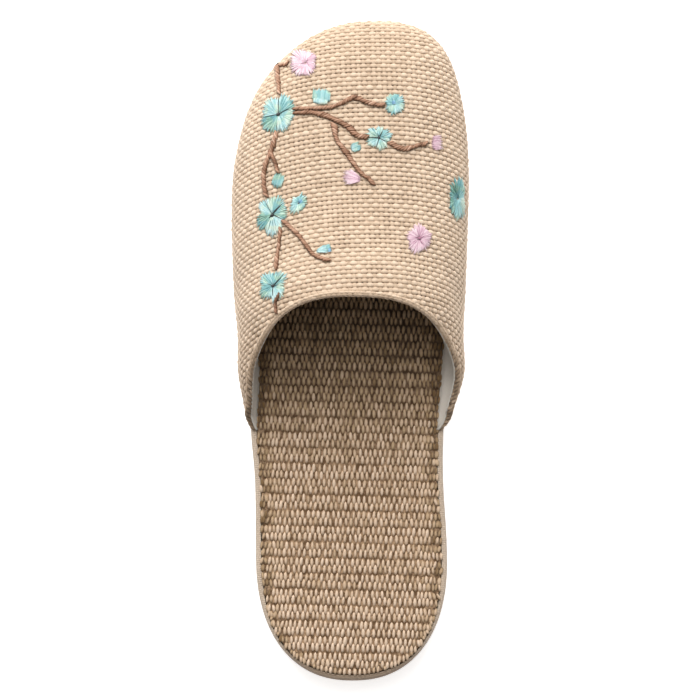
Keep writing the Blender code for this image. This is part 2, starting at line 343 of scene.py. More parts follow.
# Soft ridges (+) and troughs (-) of the worn cloth: from and to, half-width and height, in mm
CREASES = (
    ((-20, 30), (21, 30), 6.5, 0.45),  # swells where it is turned in at the throat
    ((-45, 24), (-29, 35), 7.0, -0.70),  # dips on both flanks, ahead of the collar's ends
    ((43, 20), (30, 33), 7.0, -0.80),
    ((-24, 60), (22, 55), 9.0, -0.40),  # a shallow trough where the toes bend
    ((-34, 88), (-10, 108), 9.0, 0.35),  # and a low swell over them
    ((30, 92), (8, 110), 10.0, 0.35),
)


CREASE_LEVEL, CREASE_RISE = 8 * MM, 14 * MM  # above the rim: they begin there and grow to full


def creased(x, y, z):
    """The point moved by the creases, away from the middle of the foot."""
    amount = 0.0
    for (x0, y0), (x1, y1), half, height in CREASES:
        run = ((x1 - x0) ** 2 + (y1 - y0) ** 2) ** 0.5
        along = ((x / MM - x0) * (x1 - x0) + (y / MM - y0) * (y1 - y0)) / run**2
        along = min(max(along, 0.0), 1.0)
        away = math.hypot(x / MM - x0 - (x1 - x0) * along, y / MM - y0 - (y1 - y0) * along)
        amount += height * MM * math.exp(-((away / half) ** 2))
    level = z - rim(y) - CREASE_LEVEL
    amount *= ease(level / CREASE_RISE)
    out = math.hypot(x, level) + 1e-9
    return x + amount * x / out, y, z + amount * level / out


def shell_column(foot, ridge, inset, wall_rows, arch_rows):
    """Points of one column, from the foot up to the ridge. It leans towards the toe as it climbs."""
    power = across(foot, OUTER_COLLAR_POWER, INNER_COLLAR_POWER)
    lean_in = across(foot, OUTER_COLLAR_LEAN, INNER_COLLAR_LEAN)
    points = []
    for row in range(wall_rows):
        height = row / wall_rows
        phi = foot + (ridge - foot) * COLLAR_START * height
        points.append(shell_point(phi, height, inset))
    for row in range(arch_rows + 1):
        angle = math.pi / 2 * row / arch_rows
        run = math.sin(angle) ** (2 / power)
        reach = math.cos(angle) ** (2 / power) if row < arch_rows else 0.0
        reach *= 1 - lean_in * (1 - (1 - run) ** LEAN_POWER)
        phi = foot + (ridge - foot) * (COLLAR_START + (1 - COLLAR_START) * run)
        points.append(shell_point(phi, 2 - reach, inset))
    return [creased(*point) for point in points]


def shell_grid(inset, side_columns, toe_columns, wall_rows, arch_rows, beyond=0):
    """The skin as an array of columns by rows. beyond adds columns past both ends of the collar."""
    corner, throat, dome = (angle_of(a) for a in (CORNER_ALONG, THROAT_ALONG, DOME_ALONG))
    outer = []
    for i in range(-beyond, side_columns):
        t = i / side_columns
        outer.append((corner + (dome - corner) * t, throat + (dome - throat) * t))
    toe = [dome + (2 * math.pi - 2 * dome) * i / toe_columns for i in range(toe_columns + 1)]
    inner = [(2 * math.pi - foot, 2 * math.pi - ridge) for foot, ridge in reversed(outer)]
    columns = outer + [(phi, phi) for phi in toe] + inner
    return np.array([shell_column(*c, inset, wall_rows, arch_rows) for c in columns])


for part, y in (("ball", 60 * MM), ("heel", -110 * MM)):
    print("Sole at the", part, round(rim(y) / MM, 1), "mm high")

# %% [markdown]
# ## Camera, light and floor
#
# The slipper is seen from almost straight above, a little from behind the heel, through a long
# lens, so that its outline stays true. A broad soft lamp beyond the toe lights the upper and leaves
# the mouth of the slipper dark. The floor is plain and pale.

# %% Camera
ELEVATION = math.radians(86)
LENS, SENSOR = 200.0, 36.0
FRAME_WIDTH = 275.8 * MM
AIM = Vector((0.0, 0.0, 24 * MM))

bpy.ops.object.select_all(action="DESELECT")
away = Vector((0.0, -math.cos(ELEVATION), math.sin(ELEVATION)))
distance = FRAME_WIDTH * LENS / SENSOR
bpy.ops.object.camera_add(location=AIM + away * distance)
camera = bpy.context.object
camera.data.lens, camera.data.sensor_width = LENS, SENSOR
camera.rotation_mode = "QUATERNION"
camera.rotation_quaternion = (-away).to_track_quat("-Z", "Y")
camera.data.clip_start, camera.data.clip_end = 0.1, 20
bpy.context.scene.camera = camera
print("Camera", round(distance, 2), "m away")

# %% Lamps and the pale room


def lamp(name, place, size, watts):
    bpy.ops.object.select_all(action="DESELECT")
    bpy.ops.object.light_add(type="AREA", location=place)
    obj = bpy.context.object
    obj.name = name
    obj.data.shape, obj.data.size, obj.data.energy = "DISK", size, watts
    obj.rotation_mode = "QUATERNION"
    obj.rotation_quaternion = (-Vector(place)).to_track_quat("-Z", "Y")
    print(name, "of", watts, "W")


lamp("toe_lamp", (-0.19, 1.45, 1.20), size=1.9, watts=50)
lamp("top_lamp", (-0.1, 0.50, 2.0), size=1.2, watts=14)
ROOM_GLOW, TABLE_GLOW = 0.168, 0.70  # the room is dim, and the floor glows like a light table
world = bpy.data.worlds.new("pale_room")
world.use_nodes = True
room = world.node_tree.nodes["Background"].inputs
room["Color"].default_value = (1.0, 0.99, 0.975, 1)
room["Strength"].default_value = ROOM_GLOW
bpy.context.scene.world = world
bpy.context.scene.view_settings.view_transform = "Standard"

# %% [markdown]
# ## Finishes
#
# A small class stands for a node's output, so that shader maths reads as ordinary arithmetic.
# All other nodes but the colour mix come from one method that takes their type, settings and inputs.

# %% Write materials as expressions


class Value:
    """An output of a material's node. Arithmetic on it adds Math nodes."""

    def __init__(self, finish, socket):
        self.finish, self.socket = finish, socket

    def math(self, operation, *others):
        return self.finish.node("Math", {"operation": operation}, self, *others)

    def __add__(self, other):
        return self.math("ADD", other)

    def __sub__(self, other):
        return self.math("SUBTRACT", other)

    def __rsub__(self, other):
        return self.finish.node("Math", {"operation": "SUBTRACT"}, other, self)

    def __mul__(self, other):
        return self.math("MULTIPLY", other)

    __radd__, __rmul__ = __add__, __mul__


class Finish:
    """One material: its shader's own sockets, and nodes that feed the few that may vary."""

    def __init__(self, name, **sockets):
        self.material = bpy.data.materials.new(name)
        self.material.use_nodes = True
        self.tree = self.material.node_tree
        self.shader = self.tree.nodes["Principled BSDF"]
        for socket, value in sockets.items():
            self.shader.inputs[socket.replace("_", " ")].default_value = value

    def set(self, socket, value):
        if isinstance(value, Value):
            self.tree.links.new(value.socket, socket)
        elif isinstance(value, tuple) and len(value) == 3 and socket.type == "RGBA":
            socket.default_value = (*value, 1.0)
        else:
            socket.default_value = value

    def node(self, kind, settings, *inputs, output=0, **named):
        made = self.tree.nodes.new("ShaderNode" + kind)
        for key, value in settings.items():
            if key == "stops":
                ramp = made.color_ramp.elements
                while len(ramp) < len(value):
                    ramp.new(0.5)
                for element, (place, colour) in zip(ramp, value):
                    element.position, element.color = place, (*colour, 1.0)
            else:
                setattr(made, key, value)
        for socket, value in zip(made.inputs, inputs):
            self.set(socket, value)
        for socket, value in named.items():
            self.set(made.inputs[socket.replace("_", " ")], value)
        return Value(self, made.outputs[output])

    def place(self):
        """Object coordinates, in metres."""
        return self.node("TexCoord", {}, output="Object")

    def stretched(self, where, scale):
        return self.node("Mapping", {"vector_type": "POINT"}, where, Scale=scale)

    def noise(self, scale, detail=3.0, roughness=0.55, where=None):
        """Cloudy noise, in object coordinates unless it is told where."""
        where = where or self.place()
        return self.node("TexNoise", {}, Vector=where, Scale=scale, Detail=detail, Roughness=roughness)

    def between(self, value, low, high):
        """Smooth step from 0 at low to 1 at high."""
        return self.node(
            "MapRange", {"interpolation_type": "SMOOTHSTEP"}, value, From_Min=low, From_Max=high
        )

    def mix(self, factor, first, second):
        made = self.tree.nodes.new("ShaderNodeMix")
        made.data_type = "RGBA"
        colours = [s for s in made.inputs if s.type == "RGBA"]
        self.set(made.inputs[0], factor)
        self.set(colours[0], first)
        self.set(colours[1], second)
        return Value(self, next(s for s in made.outputs if s.type == "RGBA"))

    def scaled(self, colour, factor):
        """A colour made darker or lighter."""
        return self.node("VectorMath", {"operation": "SCALE"}, colour, Scale=factor)

    def attribute(self, name, output="Fac"):
        return self.node("Attribute", {"attribute_name": name}, output=output)

    def bump(self, height, depth, strength=1.0):
        """depth is the real height in metres of a full step of height."""
        self.set(
            self.shader.inputs["Normal"],
            self.node("Bump", {}, Height=height, Distance=depth, Strength=strength),
        )

    def colour(self, value):
        self.set(self.shader.inputs["Base Color"], value)

    def roughness(self, value):
        self.set(self.shader.inputs["Roughness"], value)


def mottled(name, scale, low, high, depth=0.0, **sockets):
    """A plain finish that wanders between two colours, and is raised by depth where it is pale."""
    finish = Finish(name, **sockets)
    patches = finish.noise(scale)
    finish.colour(finish.mix(patches, low, high))
    if depth:
        finish.bump(patches, depth)
    return finish


# %% Floor
floor_finish = mottled("pale_floor", 3.0, (0.90, 0.90, 0.895), (0.93, 0.93, 0.925), Roughness=0.7)
floor_finish.shader.inputs["Emission Color"].default_value = (1, 1, 1, 1)
floor_finish.shader.inputs["Emission Strength"].default_value = TABLE_GLOW
bpy.ops.object.select_all(action="DESELECT")
bpy.ops.mesh.primitive_plane_add(size=9)
floor = bpy.context.object
floor.name = "floor"
floor.data.materials.append(floor_finish.material)
print("Floor laid")


# %% [markdown]
# ## Linen and thread
#
# Linen yarn is spun from flax: it is pale straw, thick and thin by turns, with fine fibres along
# it. Each yarn carries two numbers on its points, how far along it a point is and its tone, which
# holds its own colour and painted shade, and the material turns those into streaks and slubs that
# follow the yarn wherever it bends.

# %% Yarn and thread materials


def yarn_finish(
    name, stops, roughness, sheen=0.15, streak=900.0, depth=0.12 * MM, slub=0.30, dye=None, shade_deepening=0.0
):
    """Spun yarn or thread: its tone picks the shade from dark to light stops, fibres run along it."""
    finish = Finish(name, Sheen_Weight=sheen, Sheen_Roughness=0.5)
    finish.shader.inputs["Specular IOR Level"].default_value = 0.25
    thread = finish.node("UVMap", {"uv_map": "Thread"})
    tone = finish.attribute("tone")
    fibres = finish.noise(streak, 3.0, 0.6, finish.stretched(thread, (0.25, 1.0, 1.0)))
    slubs = finish.noise(160.0, 2.0)
    shade = tone + (fibres - 0.5) * 0.5 + (slubs - 0.5) * slub
    colour = finish.node("ValToRGB", {"stops": stops}, shade)
    if dye:  # a space-dyed thread changes to these stops and back
        change = finish.between(finish.noise(280.0, 1.0), 0.44, 0.60)
        colour = finish.mix(change, colour, finish.node("ValToRGB", {"stops": dye}, shade))
    if shade_deepening:  # painted shade: tones below 0 are darkened further
        colour = finish.scaled(colour, 1 - shade_deepening + shade_deepening * finish.between(tone, -0.50, 0.05))
    finish.colour(colour)
    finish.roughness(roughness + fibres * 0.15)
    finish.bump(fibres, depth)
    return finish


linen = yarn_finish(
    "linen_yarn",
    (
        (0.0, (0.34, 0.24, 0.155)),
        (0.3, (0.47, 0.34, 0.235)),
        (0.6, (0.58, 0.435, 0.31)),
        (1.0, (0.71, 0.555, 0.415)),
    ),
    0.78,
    shade_deepening=0.5,
)
linen_ground = mottled(
    "linen_ground", 900.0, (0.48, 0.345, 0.23), (0.60, 0.44, 0.30), 0.2 * MM, Roughness=0.95
)
print("Linen mixed")

# %% [markdown]
# ## The woven upper
#
# Plain weave bends over a round toe by shearing: its yarns keep their spacing along themselves,
# and the square cells turn into diamonds at the corners. So the weave is laid as a fishing net.
# One weft and one warp are laid first along the form, and each further crossing is placed one
# pitch from both of its neighbours. The yarns then run through the crossings, over and under.

# %% Where the cloth is cut
COLLAR_ROWS = (60, 220)  # points up the wall and over the arch, close together


def collar_column(side, later=0.0, inset=0.0):
    """The collar's edge from its foot up to the throat. side: 1 is the outer one, -1 the inner one."""
    angles = [angle_of(along) + later for along in (CORNER_ALONG, THROAT_ALONG)]
    if side < 0:
        angles = [2 * math.pi - angle for angle in angles]
    return np.array(shell_column(*angles, inset, *COLLAR_ROWS))


collar_lines, collar_inward = [], []
for side in (1, -1):
    line = collar_column(side)
    run = unit(np.gradient(line, axis=0))
    collar_lines.append(line)
    collar_inward.append(unit(without(collar_column(side, later=0.03) - line, run)))
collar_points, collar_ways = np.concatenate(collar_lines), np.concatenate(collar_inward)
collar_tree = tree_of(collar_points)
print("Collar cut from", round(collar_points[0][1] / MM), "to", round(collar_points[-1][1] / MM), "mm")


MOUTH_HALF = 30 * MM  # the open mouth is about this wide to each side
CLEAR_BEHIND, CLEAR_WITHIN = 3 * MM, 10 * MM  # no cloth lies past these, behind and in the mouth


def from_collar(point):
    """Distance into the cloth from the collar, below 0 past it."""
    place, index, far = collar_tree.find(point)
    in_mouth = point[1] < collar_points[:, 1].max() and abs(point[0]) < MOUTH_HALF
    if point[1] < collar_points[0][1] - CLEAR_BEHIND or far > CLEAR_WITHIN and in_mouth:
        return -far
    return (Vector(point) - place).dot(Vector(collar_ways[index]))


def cloth_left(point):
    """Distance into the cloth from its cut edges, below 0 past them."""
    return min(from_collar(point), point[2] - rim(point[1]) - GAP)


# %% Lay the net
WEFT_PITCH = 1.84 * MM  # between weft rows, which run across the slipper
WARP_PITCH = 2.0 * MM  # between warp yarns, which run along it
NET_START = 22.6 * MM  # where the first weft crosses the ridge, just ahead of the collar
NET_TURN = math.radians(3.0)  # the cloth was laid a little askew
ROW_BEND = math.radians(0.25)  # the first weft sweeps back by this per crossing, twice it outside
TOEWARD, HEELWARD, SIDEWARD = 78, 34, 46
GUIDE = 35  # crossings from the middle to the warp that is laid first along each side
PAST_COLLAR = 2.5 * MM  # rows stop this far past the collar
SKIRT, SKIRT_STEP = 14, 3 * MM  # rows of the form below the foot, where the net runs out

skin = shell_grid(0.0, 54, 72, 8, 40, beyond=8)
drop = SKIRT_STEP * np.arange(SKIRT, 0, -1)
form = np.concatenate([skin[:, :1] - drop[:, None] * np.array((0, 0, 1.0)), skin], axis=1)
last = BVHTree.FromPolygons([tuple(p) for p in form.reshape(-1, 3)], grid_faces(*form.shape[:2]))


def on_last(point):
    place, normal, _, _ = last.find_nearest(point)
    return place, normal


def march(start, direction, step, count, bend=0.0):
    """Points along a line on the form, straight (geodesic) or turning by bend at each step."""
    line, heading = [], direction.normalized()
    place, normal = on_last(start)
    for _ in range(count):
        heading = (heading + normal.cross(heading) * bend).normalized()
        aimed, normal = on_last(place + heading * step)
        heading = aimed - place
        place = place + heading.normalized() * step
        place, normal = on_last(place)
        heading = (heading - normal * heading.dot(normal)).normalized()
        line.append(place)
    return line


PULLS, LONGEST_MOVE = 5, 0.4 * WEFT_PITCH  # each crossing is pulled into place in short moves
LEAST_SPREAD = 0.08  # keeps the moves short where weft and warp run almost the same way


def crossing(behind, beside, corner):
    """The point of the form that is one weft pitch from behind and one warp pitch from beside."""
    place, normal = on_last(behind + beside - corner)
    for _ in range(PULLS):
        pulls = []
        for other, pitch in ((behind, WEFT_PITCH), (beside, WARP_PITCH)):
            line = place - other
            miss = line.length - pitch
            line.normalize()
            line = line - normal * line.dot(normal)
            pulls.append((line, miss))
        (a, miss_a), (b, miss_b) = pulls
        aa, bb, ab = a.dot(a), b.dot(b), a.dot(b)
        det = max(aa * bb - ab * ab, LEAST_SPREAD)
        move = a * ((miss_a * bb - miss_b * ab) / det) + b * ((miss_b * aa - miss_a * ab) / det)
        if move.length > LONGEST_MOVE:
            move = move.normalized() * LONGEST_MOVE
        place, normal = on_last(place - move)
    return place


def net_at(row, column):
    return Vector(net[row, column])


net = np.full((HEELWARD + 1 + TOEWARD, 2 * SIDEWARD + 1, 3), np.nan)
past = np.zeros(net.shape[:2], bool)
first, middle = HEELWARD, SIDEWARD
net_x = blend(STATIONS, CENTRE, share(NET_START)) * MM
start, up = on_last(Vector((net_x, NET_START, INSTEP_HEIGHT)))
side_way = Vector((math.cos(NET_TURN), math.sin(NET_TURN), 0))
side_way = (side_way - up * side_way.dot(up)).normalized()
toe_way = up.cross(side_way)
toe_way = toe_way if toe_way.y > 0 else -toe_way
net[first, middle] = start
net[first, middle + 1 :] = march(start, side_way, WARP_PITCH, SIDEWARD, -ROW_BEND)
net[first, :middle] = march(start, -side_way, WARP_PITCH, SIDEWARD, 2.0 * ROW_BEND)[::-1]
net[first + 1 :, middle] = march(start, toe_way, WEFT_PITCH, TOEWARD)
for r in range(first + 1, len(net)):
    for way in (1, -1):
        for k in range(1, SIDEWARD + 1):
            c = middle + way * k
            net[r, c] = crossing(net_at(r - 1, c), net_at(r, c - way), net_at(r - 1, c - way))
for way in (1, -1):
    guide = middle + way * GUIDE
    heading = net_at(first, guide) - net_at(first + 1, guide)
    net[:first, guide] = march(net_at(first, guide), heading, WEFT_PITCH, HEELWARD)[::-1]
    for r in range(first - 1, -1, -1):
        for turn in (1, -1):
            for k in range(1, (SIDEWARD - GUIDE if turn == 1 else GUIDE) + 1):
                c = guide + way * turn * k
                near = c - way * turn
                behind, beside, corner = net_at(r + 1, c), net_at(r, near), net_at(r + 1, near)
                if past[r, near] or turn == -1 and from_collar(beside) < -PAST_COLLAR:
                    past[r, c] = True
                    net[r, c] = behind + beside - corner
                else:
                    net[r, c] = crossing(behind, beside, corner)
print("Net of", net.shape[0], "wefts and", net.shape[1], "warps")

left = np.array([[cloth_left(p) for p in row] for row in net])
left[past] = -PAST_COLLAR
print("Crossings on the upper:", int((left > 0).sum()))


# %% Sweep yarns through the net


def smooth_rows(values, steps):
    """Catmull-Rom samples between the entries of an array, along its first axis."""
    padded = np.concatenate([2 * values[:1] - values[1:2], values, 2 * values[-1:] - values[-2:-1]])
    p0, p1, p2, p3 = padded[:-3], padded[1:-2], padded[2:-1], padded[3:]
    samples = []
    for i in range(steps):
        t = i / steps
        samples.append(
            0.5
            * (
                2 * p1
                + (p2 - p0) * t
                + (2 * p0 - 5 * p1 + 4 * p2 - p3) * t**2
                + (3 * p1 - p0 - 3 * p2 + p3) * t**3
            )
        )
    return np.stack(samples, axis=1).reshape(-1, *values.shape[1:])


UNDERSIDE, END_SIZE = 0.35, 0.35  # of a tube: depth of the flat underside, and size of a round end


class Gathered:
    """Many small closed forms for one joined mesh, with a place along a thread and a tone per point."""

    def __init__(self):
        self.points, self.faces, self.uv, self.tone = [], [], [], []
        self.count = 0

    def gather(self, points, faces, uv, tone):
        self.points.append(points)
        self.faces += [tuple(k + self.count for k in face) for face in faces]
        self.uv.append(uv)
        self.tone.append(tone)
        self.count += len(points)

    def piece(self, name):
        obj = mesh_object(name, np.concatenate(self.points), self.faces)
        mesh = obj.data
        corner = np.zeros(len(mesh.loops), np.int32)
        mesh.loops.foreach_get("vertex_index", corner)
        layer = mesh.uv_layers.new(name="Thread")
        uv = np.concatenate(self.uv)[corner]
        layer.data.foreach_set("uv", uv.astype(np.float32).ravel())
        mark = mesh.attributes.new("tone", "FLOAT", "POINT")
        mark.data.foreach_set("value", np.concatenate(self.tone).astype(np.float32))
        return obj


class Strands(Gathered):
    """Tubes, domed with a flat underside, or round."""

    def __init__(self, sides, whole=False, underside_shade=0.0):
        super().__init__()
        full = 2 * math.pi if whole else math.pi
        angles = np.linspace(0, full, sides, endpoint=not whole)
        self.section = np.stack([np.cos(angles), np.sin(angles)], axis=1)
        if not whole:  # the flat underside lies below the tube's middle
            self.section[:, 1] = self.section[:, 1] * (1 + UNDERSIDE) - UNDERSIDE
        # painted shade: the tone falls towards the tube's underside, where it sinks between its
        # neighbours
        self.underside_shade = underside_shade * (self.section[:, 1] - 0.6)

    def add(self, centre, normal, half_width, half_height, tone, round_ends=False):
        """centre and normal: one per ring. Sizes and tone: numbers or one per ring."""
        n = len(centre)
        if n < 2:
            return
        run = unit(np.gradient(centre, axis=0))
        normal = unit(without(normal, run))
        side = np.cross(run, normal)
        half_width = np.broadcast_to(half_width, n).copy()
        half_height = np.broadcast_to(half_height, n).copy()
        if round_ends:
            half_width[[0, -1]] *= END_SIZE
            half_height[[0, -1]] *= END_SIZE
        sides = len(self.section)
        across_part = side[:, None] * (self.section[None, :, :1] * half_width[:, None, None])
        up_part = normal[:, None] * (self.section[None, :, 1:] * half_height[:, None, None])
        rings = centre[:, None] + across_part + up_part
        walls = [(a, d, c, b) for a, b, c, d in grid_faces(n, sides, round_rows=True)]
        ends = [range(sides), range(n * sides - 1, (n - 1) * sides - 1, -1)]
        shift = rng.uniform(0, 5)
        length = run_along(centre)[:, None] + shift
        around = np.arange(sides)[None] / sides * 2 * half_width.mean() + shift
        uv = np.stack(np.broadcast_arrays(length, around), axis=-1).reshape(-1, 2)
        shade = (np.broadcast_to(tone, n)[:, None] + self.underside_shade[None]).reshape(-1)
        self.gather(rings.reshape(-1, 3), walls + ends, uv, shade)


def cut_runs(keep):
    """Start and end of each unbroken run of True."""
    edges = np.flatnonzero(np.diff(np.concatenate([[0], keep.astype(int), [0]])))
    return zip(edges[::2], edges[1::2])


SLUB_REACH = 12  # samples from one thick or thin spot of a yarn to the next
FLANK_START, FLANK_RUN = 20, 18  # mm from the middle line: where the cloth begins to turn steep
COLLAR_SHADE_START, COLLAR_SHADE_RUN = 14, 36  # y in mm, and how far back from there the painted shade by the collar grows to full
COLLAR_SHADE_REACH, COLLAR_SHADE_WIDENS = 9, 15  # mm from the collar darkened with painted shade, and more towards the heel


def lay_yarns(net, left, strands, gauge, steps, phase):
    """One yarn along each row of the net, over and under at alternate crossings."""
    along, beside = np.gradient(net, axis=1), np.gradient(net, axis=0)
    normal = unit(np.cross(along, beside))
    normal *= np.sign(normal[..., 2:3].mean())
    spacing = np.linalg.norm(without(beside, unit(along)), axis=2)
    for r in range(1, len(net) - 1):
        where, up, wide, room = (smooth_rows(q[r], steps) for q in (net, normal, spacing, left))
        samples = np.arange(len(where))
        wave = np.cos(math.pi * (samples / steps + r + phase))
        swells = rng.normal(size=len(where) // SLUB_REACH + 3)
        slub = 1 + 0.07 * np.interp(samples, SLUB_REACH * np.arange(len(swells)), swells)
        grains = np.repeat(rng.normal(0, 0.05, len(net[r]) + 1), steps)[: len(where)]
        tone = rng.normal(gauge["tone"], 0.07) + grains + gauge["dive_shade"] * (wave - 1) + 0.9 * (slub - 1)
        flank = np.clip((np.abs(where[:, 0]) / MM - FLANK_START) / FLANK_RUN, 0, 1)
        heelward = np.clip((COLLAR_SHADE_START - where[:, 1] / MM) / COLLAR_SHADE_RUN, 0, 1)
        collar_shade_reach = (COLLAR_SHADE_REACH + COLLAR_SHADE_WIDENS * heelward) * MM
        collar_shade = flank * np.exp(-np.clip(room / collar_shade_reach, 0, 9) ** 2)
        tone -= collar_shade * (0.30 + 0.34 * heelward - 0.16 * wave)  # painted shade by the collar, where the flanks face away from the lamps
        tone += flank * (0.20 * (wave - 0.2) + gauge["flank"])  # painted light and shade: the checks show more on the steep sides, where light grazes them
        lift = gauge["base"] + gauge["wave"] * wave * (1 + 0.30 * flank)
        centre = where + up * lift[:, None]
        width = np.clip(wide, 0.5 * MM, 2.3 * MM) * gauge["fill"] / 2 * slub
        width *= 1 + 0.10 * wave
        for a, b in cut_runs(room > 0.0):
            if b - a > 2:
                strands.add(centre[a:b], up[a:b], width[a:b], gauge["height"] * slub[a:b], tone[a:b])


# base: level from the form's skin; wave: half the way up and down; height: half the yarn's own;
# fill: width as a share of the pitch; dive_shade: painted shade, darker by this where it dives;
# flank: painted light, paler by this on the steep sides (darker where below 0), where light grazes
WEFT = {
    "base": -0.62 * MM, "wave": 0.24 * MM, "height": 0.46 * MM,
    "fill": 1.02, "tone": 0.74, "dive_shade": 0.16, "flank": 0.20,
}
WARP = {
    "base": -0.78 * MM, "wave": 0.34 * MM, "height": 0.34 * MM,
    "fill": 0.88, "tone": 0.50, "dive_shade": 0.14, "flank": -0.16,
}
PARTING = HEELWARD + 28  # the wefts are joined into two meshes, before and after this one
for name, rows_of, room_of, gauge, sides in (
    ("upper_weft_instep", net[: PARTING + 2], left[: PARTING + 2], WEFT, 5),
    ("upper_weft_toe", net[PARTING:], left[PARTING:], WEFT, 5),
    ("upper_warp", net.transpose(1, 0, 2), left.T, WARP, 4),
):
    strands = Strands(sides, underside_shade=0.40)
    lay_yarns(rows_of, room_of, strands, gauge, 4, int(gauge is WARP))
    finish_piece(strands.piece(name), linen)

# %% [markdown]
# ## Ground, lining and turned edge
#
# Behind the yarns the real upper has a glued backing and a smooth lining. Both are grids laid on
# the form, given their thickness by Solidify. At the collar the linen is turned over a narrow roll,
# a curve with a round section painted dark as shade, under three rows of short wefts that are
# painted darker as they turn under. The lining's pale edge lies inside.

# %% Ground and lining
lining_finish = Finish("brushed_lining", Roughness=0.95, Sheen_Weight=0.2)
nap, cloudy = lining_finish.noise(700.0, 4.0, 0.7), lining_finish.noise(60.0)
lining_finish.colour(
    lining_finish.mix(nap * 0.6 + cloudy * 0.4, (0.63, 0.575, 0.50), (0.82, 0.765, 0.69))
)
lining_finish.bump(nap, 0.15 * MM)
# painted shade: the roll's core is a dark linen, for the shade between and under the turned rows
fold_shade_finish = mottled(
    "linen_fold_shade", 800.0, (0.20, 0.14, 0.09), (0.33, 0.24, 0.16), 0.2 * MM, Roughness=0.95
)
piping_finish = mottled(
    "lining_edge", 500.0, (0.66, 0.61, 0.54), (0.80, 0.76, 0.69), Roughness=0.8, Sheen_Weight=0.1
)


def shell_sheet(name, inset, thickness):
    """A cloth laid on the form at a depth under its skin, with its thickness inwards."""
    grid = shell_grid(inset, 40, 54, 6, 26)
    obj = mesh_object(name, grid.reshape(-1, 3), grid_faces(*grid.shape[:2]))
    weld(obj)
    if sum(face.normal.z for face in obj.data.polygons) < 0:
        obj.data.flip_normals()
    solidify = obj.modifiers.new("thickness", "SOLIDIFY")
    solidify.thickness, solidify.offset = thickness, -1.0
    bpy.ops.object.modifier_apply(modifier=solidify.name)
    return obj


backing = finish_piece(shell_sheet("upper_backing", 1.08 * MM, 0.50 * MM), linen_ground)
lining = finish_piece(shell_sheet("upper_lining", 1.95 * MM, 0.45 * MM), lining_finish)

# %% Roll the collar over
ROLL_RADIUS, ROLL_STEP = 1.05 * MM, 0.5 * MM
ROLL_TURNS = (-10, 46, 98)  # degrees round the roll, from its top: the rows of turned wefts
TUCK_TURN = 158  # and where the pale edge of the lining lies
TURN_HALF, TURN_WIDTH, TURN_HEIGHT, TURN_SAG = 1.12 * MM, 0.72 * MM, 0.50 * MM, 0.24 * MM
TURN_SLANT = 0.6  # radians, on the flanks, where the wefts meet the collar aslant


def round_roll(degrees):
    """The way out of the roll at an angle round it, at each of its points."""
    turn = math.radians(degrees)
    return roll_up * math.cos(turn) + roll_back * math.sin(turn)


def even_line(points, spacing):
    """Points at even spacing along a line."""
    points = np.asarray(points, float)
    steps = np.linalg.norm(np.diff(points, axis=0), axis=1)
    points = points[np.concatenate([[True], steps > 1e-7])]
    run = run_along(points)
    at = np.linspace(0, run[-1], max(int(round(run[-1] / spacing)) + 1, 3))
    return np.stack([np.interp(at, run, points[:, k]) for k in range(points.shape[1])], axis=1)


# from the collar's outer end over the throat to its inner end
outer, inner = (collar_column(side, inset=WALL / 2) for side in (1, -1))
roll_line = even_line(np.concatenate([outer, inner[::-1][1:]]), ROLL_STEP)
roll_up, roll_back = [], []
for place in roll_line:
    _, normal = on_last(Vector(place))
    _, index, _ = collar_tree.find(place)
    roll_up.append(-normal if normal.dot(Vector(place) - AIM) < 0 else normal)
    roll_back.append(-collar_ways[index])
roll_up, roll_back = np.array(roll_up), np.array(roll_back)
core = Strands(12, whole=True, underside_shade=0.0)
core.add(roll_line, roll_up, ROLL_RADIUS, ROLL_RADIUS, 0.5)
rows, piping = Strands(6, underside_shade=0.60), Strands(6, whole=True)
reach = np.arange(len(roll_line)) * ROLL_STEP
forward = unit(np.gradient(roll_line, axis=0))
for k, degrees in enumerate(ROLL_TURNS):
    out = round_roll(degrees)
    skin = roll_line + out * (ROLL_RADIUS - 0.12 * MM)
    slope = np.cross(forward, out)
    start = (0.5 * (k % 2)) * WARP_PITCH
    for at in np.arange(start + WARP_PITCH, reach[-1] - WARP_PITCH, WARP_PITCH):
        i = int(round((at + rng.normal(0, 0.12) * MM) / ROLL_STEP))
        flank = ease(abs(2 * at / reach[-1] - 1) * 1.7 - 0.45)
        half = TURN_HALF * rng.uniform(0.88, 1.12)
        aslant = TURN_SLANT * flank * np.sign(at - reach[-1] / 2)
        aim = forward[i] * math.cos(aslant) + slope[i] * math.sin(aslant)
        line = [skin[i] + aim * half * t - out[i] * TURN_SAG * t * t for t in (-1, -0.6, 0, 0.6, 1)]
        wide = TURN_WIDTH * np.array((0.5, 0.9, 1.0, 0.9, 0.5)) * rng.uniform(0.92, 1.08)
        # painted shade: rows further round the roll, and at the collar's ends, are darker
        tone = 0.50 - 0.16 * k - 0.40 * flank + rng.normal(0, 0.10 + 0.12 * flank)
        rows.add(np.array(line), np.tile(out[i], (5, 1)), wide, TURN_HEIGHT, tone)
tuck = round_roll(TUCK_TURN)
piping.add(roll_line + tuck * (ROLL_RADIUS + 0.15 * MM), tuck, 0.50 * MM, 0.45 * MM, 0.5)
piping = finish_piece(piping.piece("collar_piping"), piping_finish)
roll = finish_piece(core.piece("collar_roll"), fold_shade_finish)
roll_rows = finish_piece(rows.piece("collar_rows"), linen)

# %% Hem of the upper on the sole
hem_line = []
for phi in np.linspace(angle_of(CORNER_ALONG), 2 * math.pi - angle_of(CORNER_ALONG), 260):
    x, y = moved_edge(phi, -0.35 * MM)
    hem_line.append((x, y, rim(y) + GAP + 0.35 * MM))
hem_line = even_line(hem_line, 1.0 * MM)
hem = Strands(8, whole=True)
hem.add(hem_line, np.tile((0, 0, 1.0), (len(hem_line), 1)), 0.75 * MM, 0.65 * MM, 0.45)
hem = finish_piece(hem.piece("upper_hem"), linen)
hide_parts("upper")
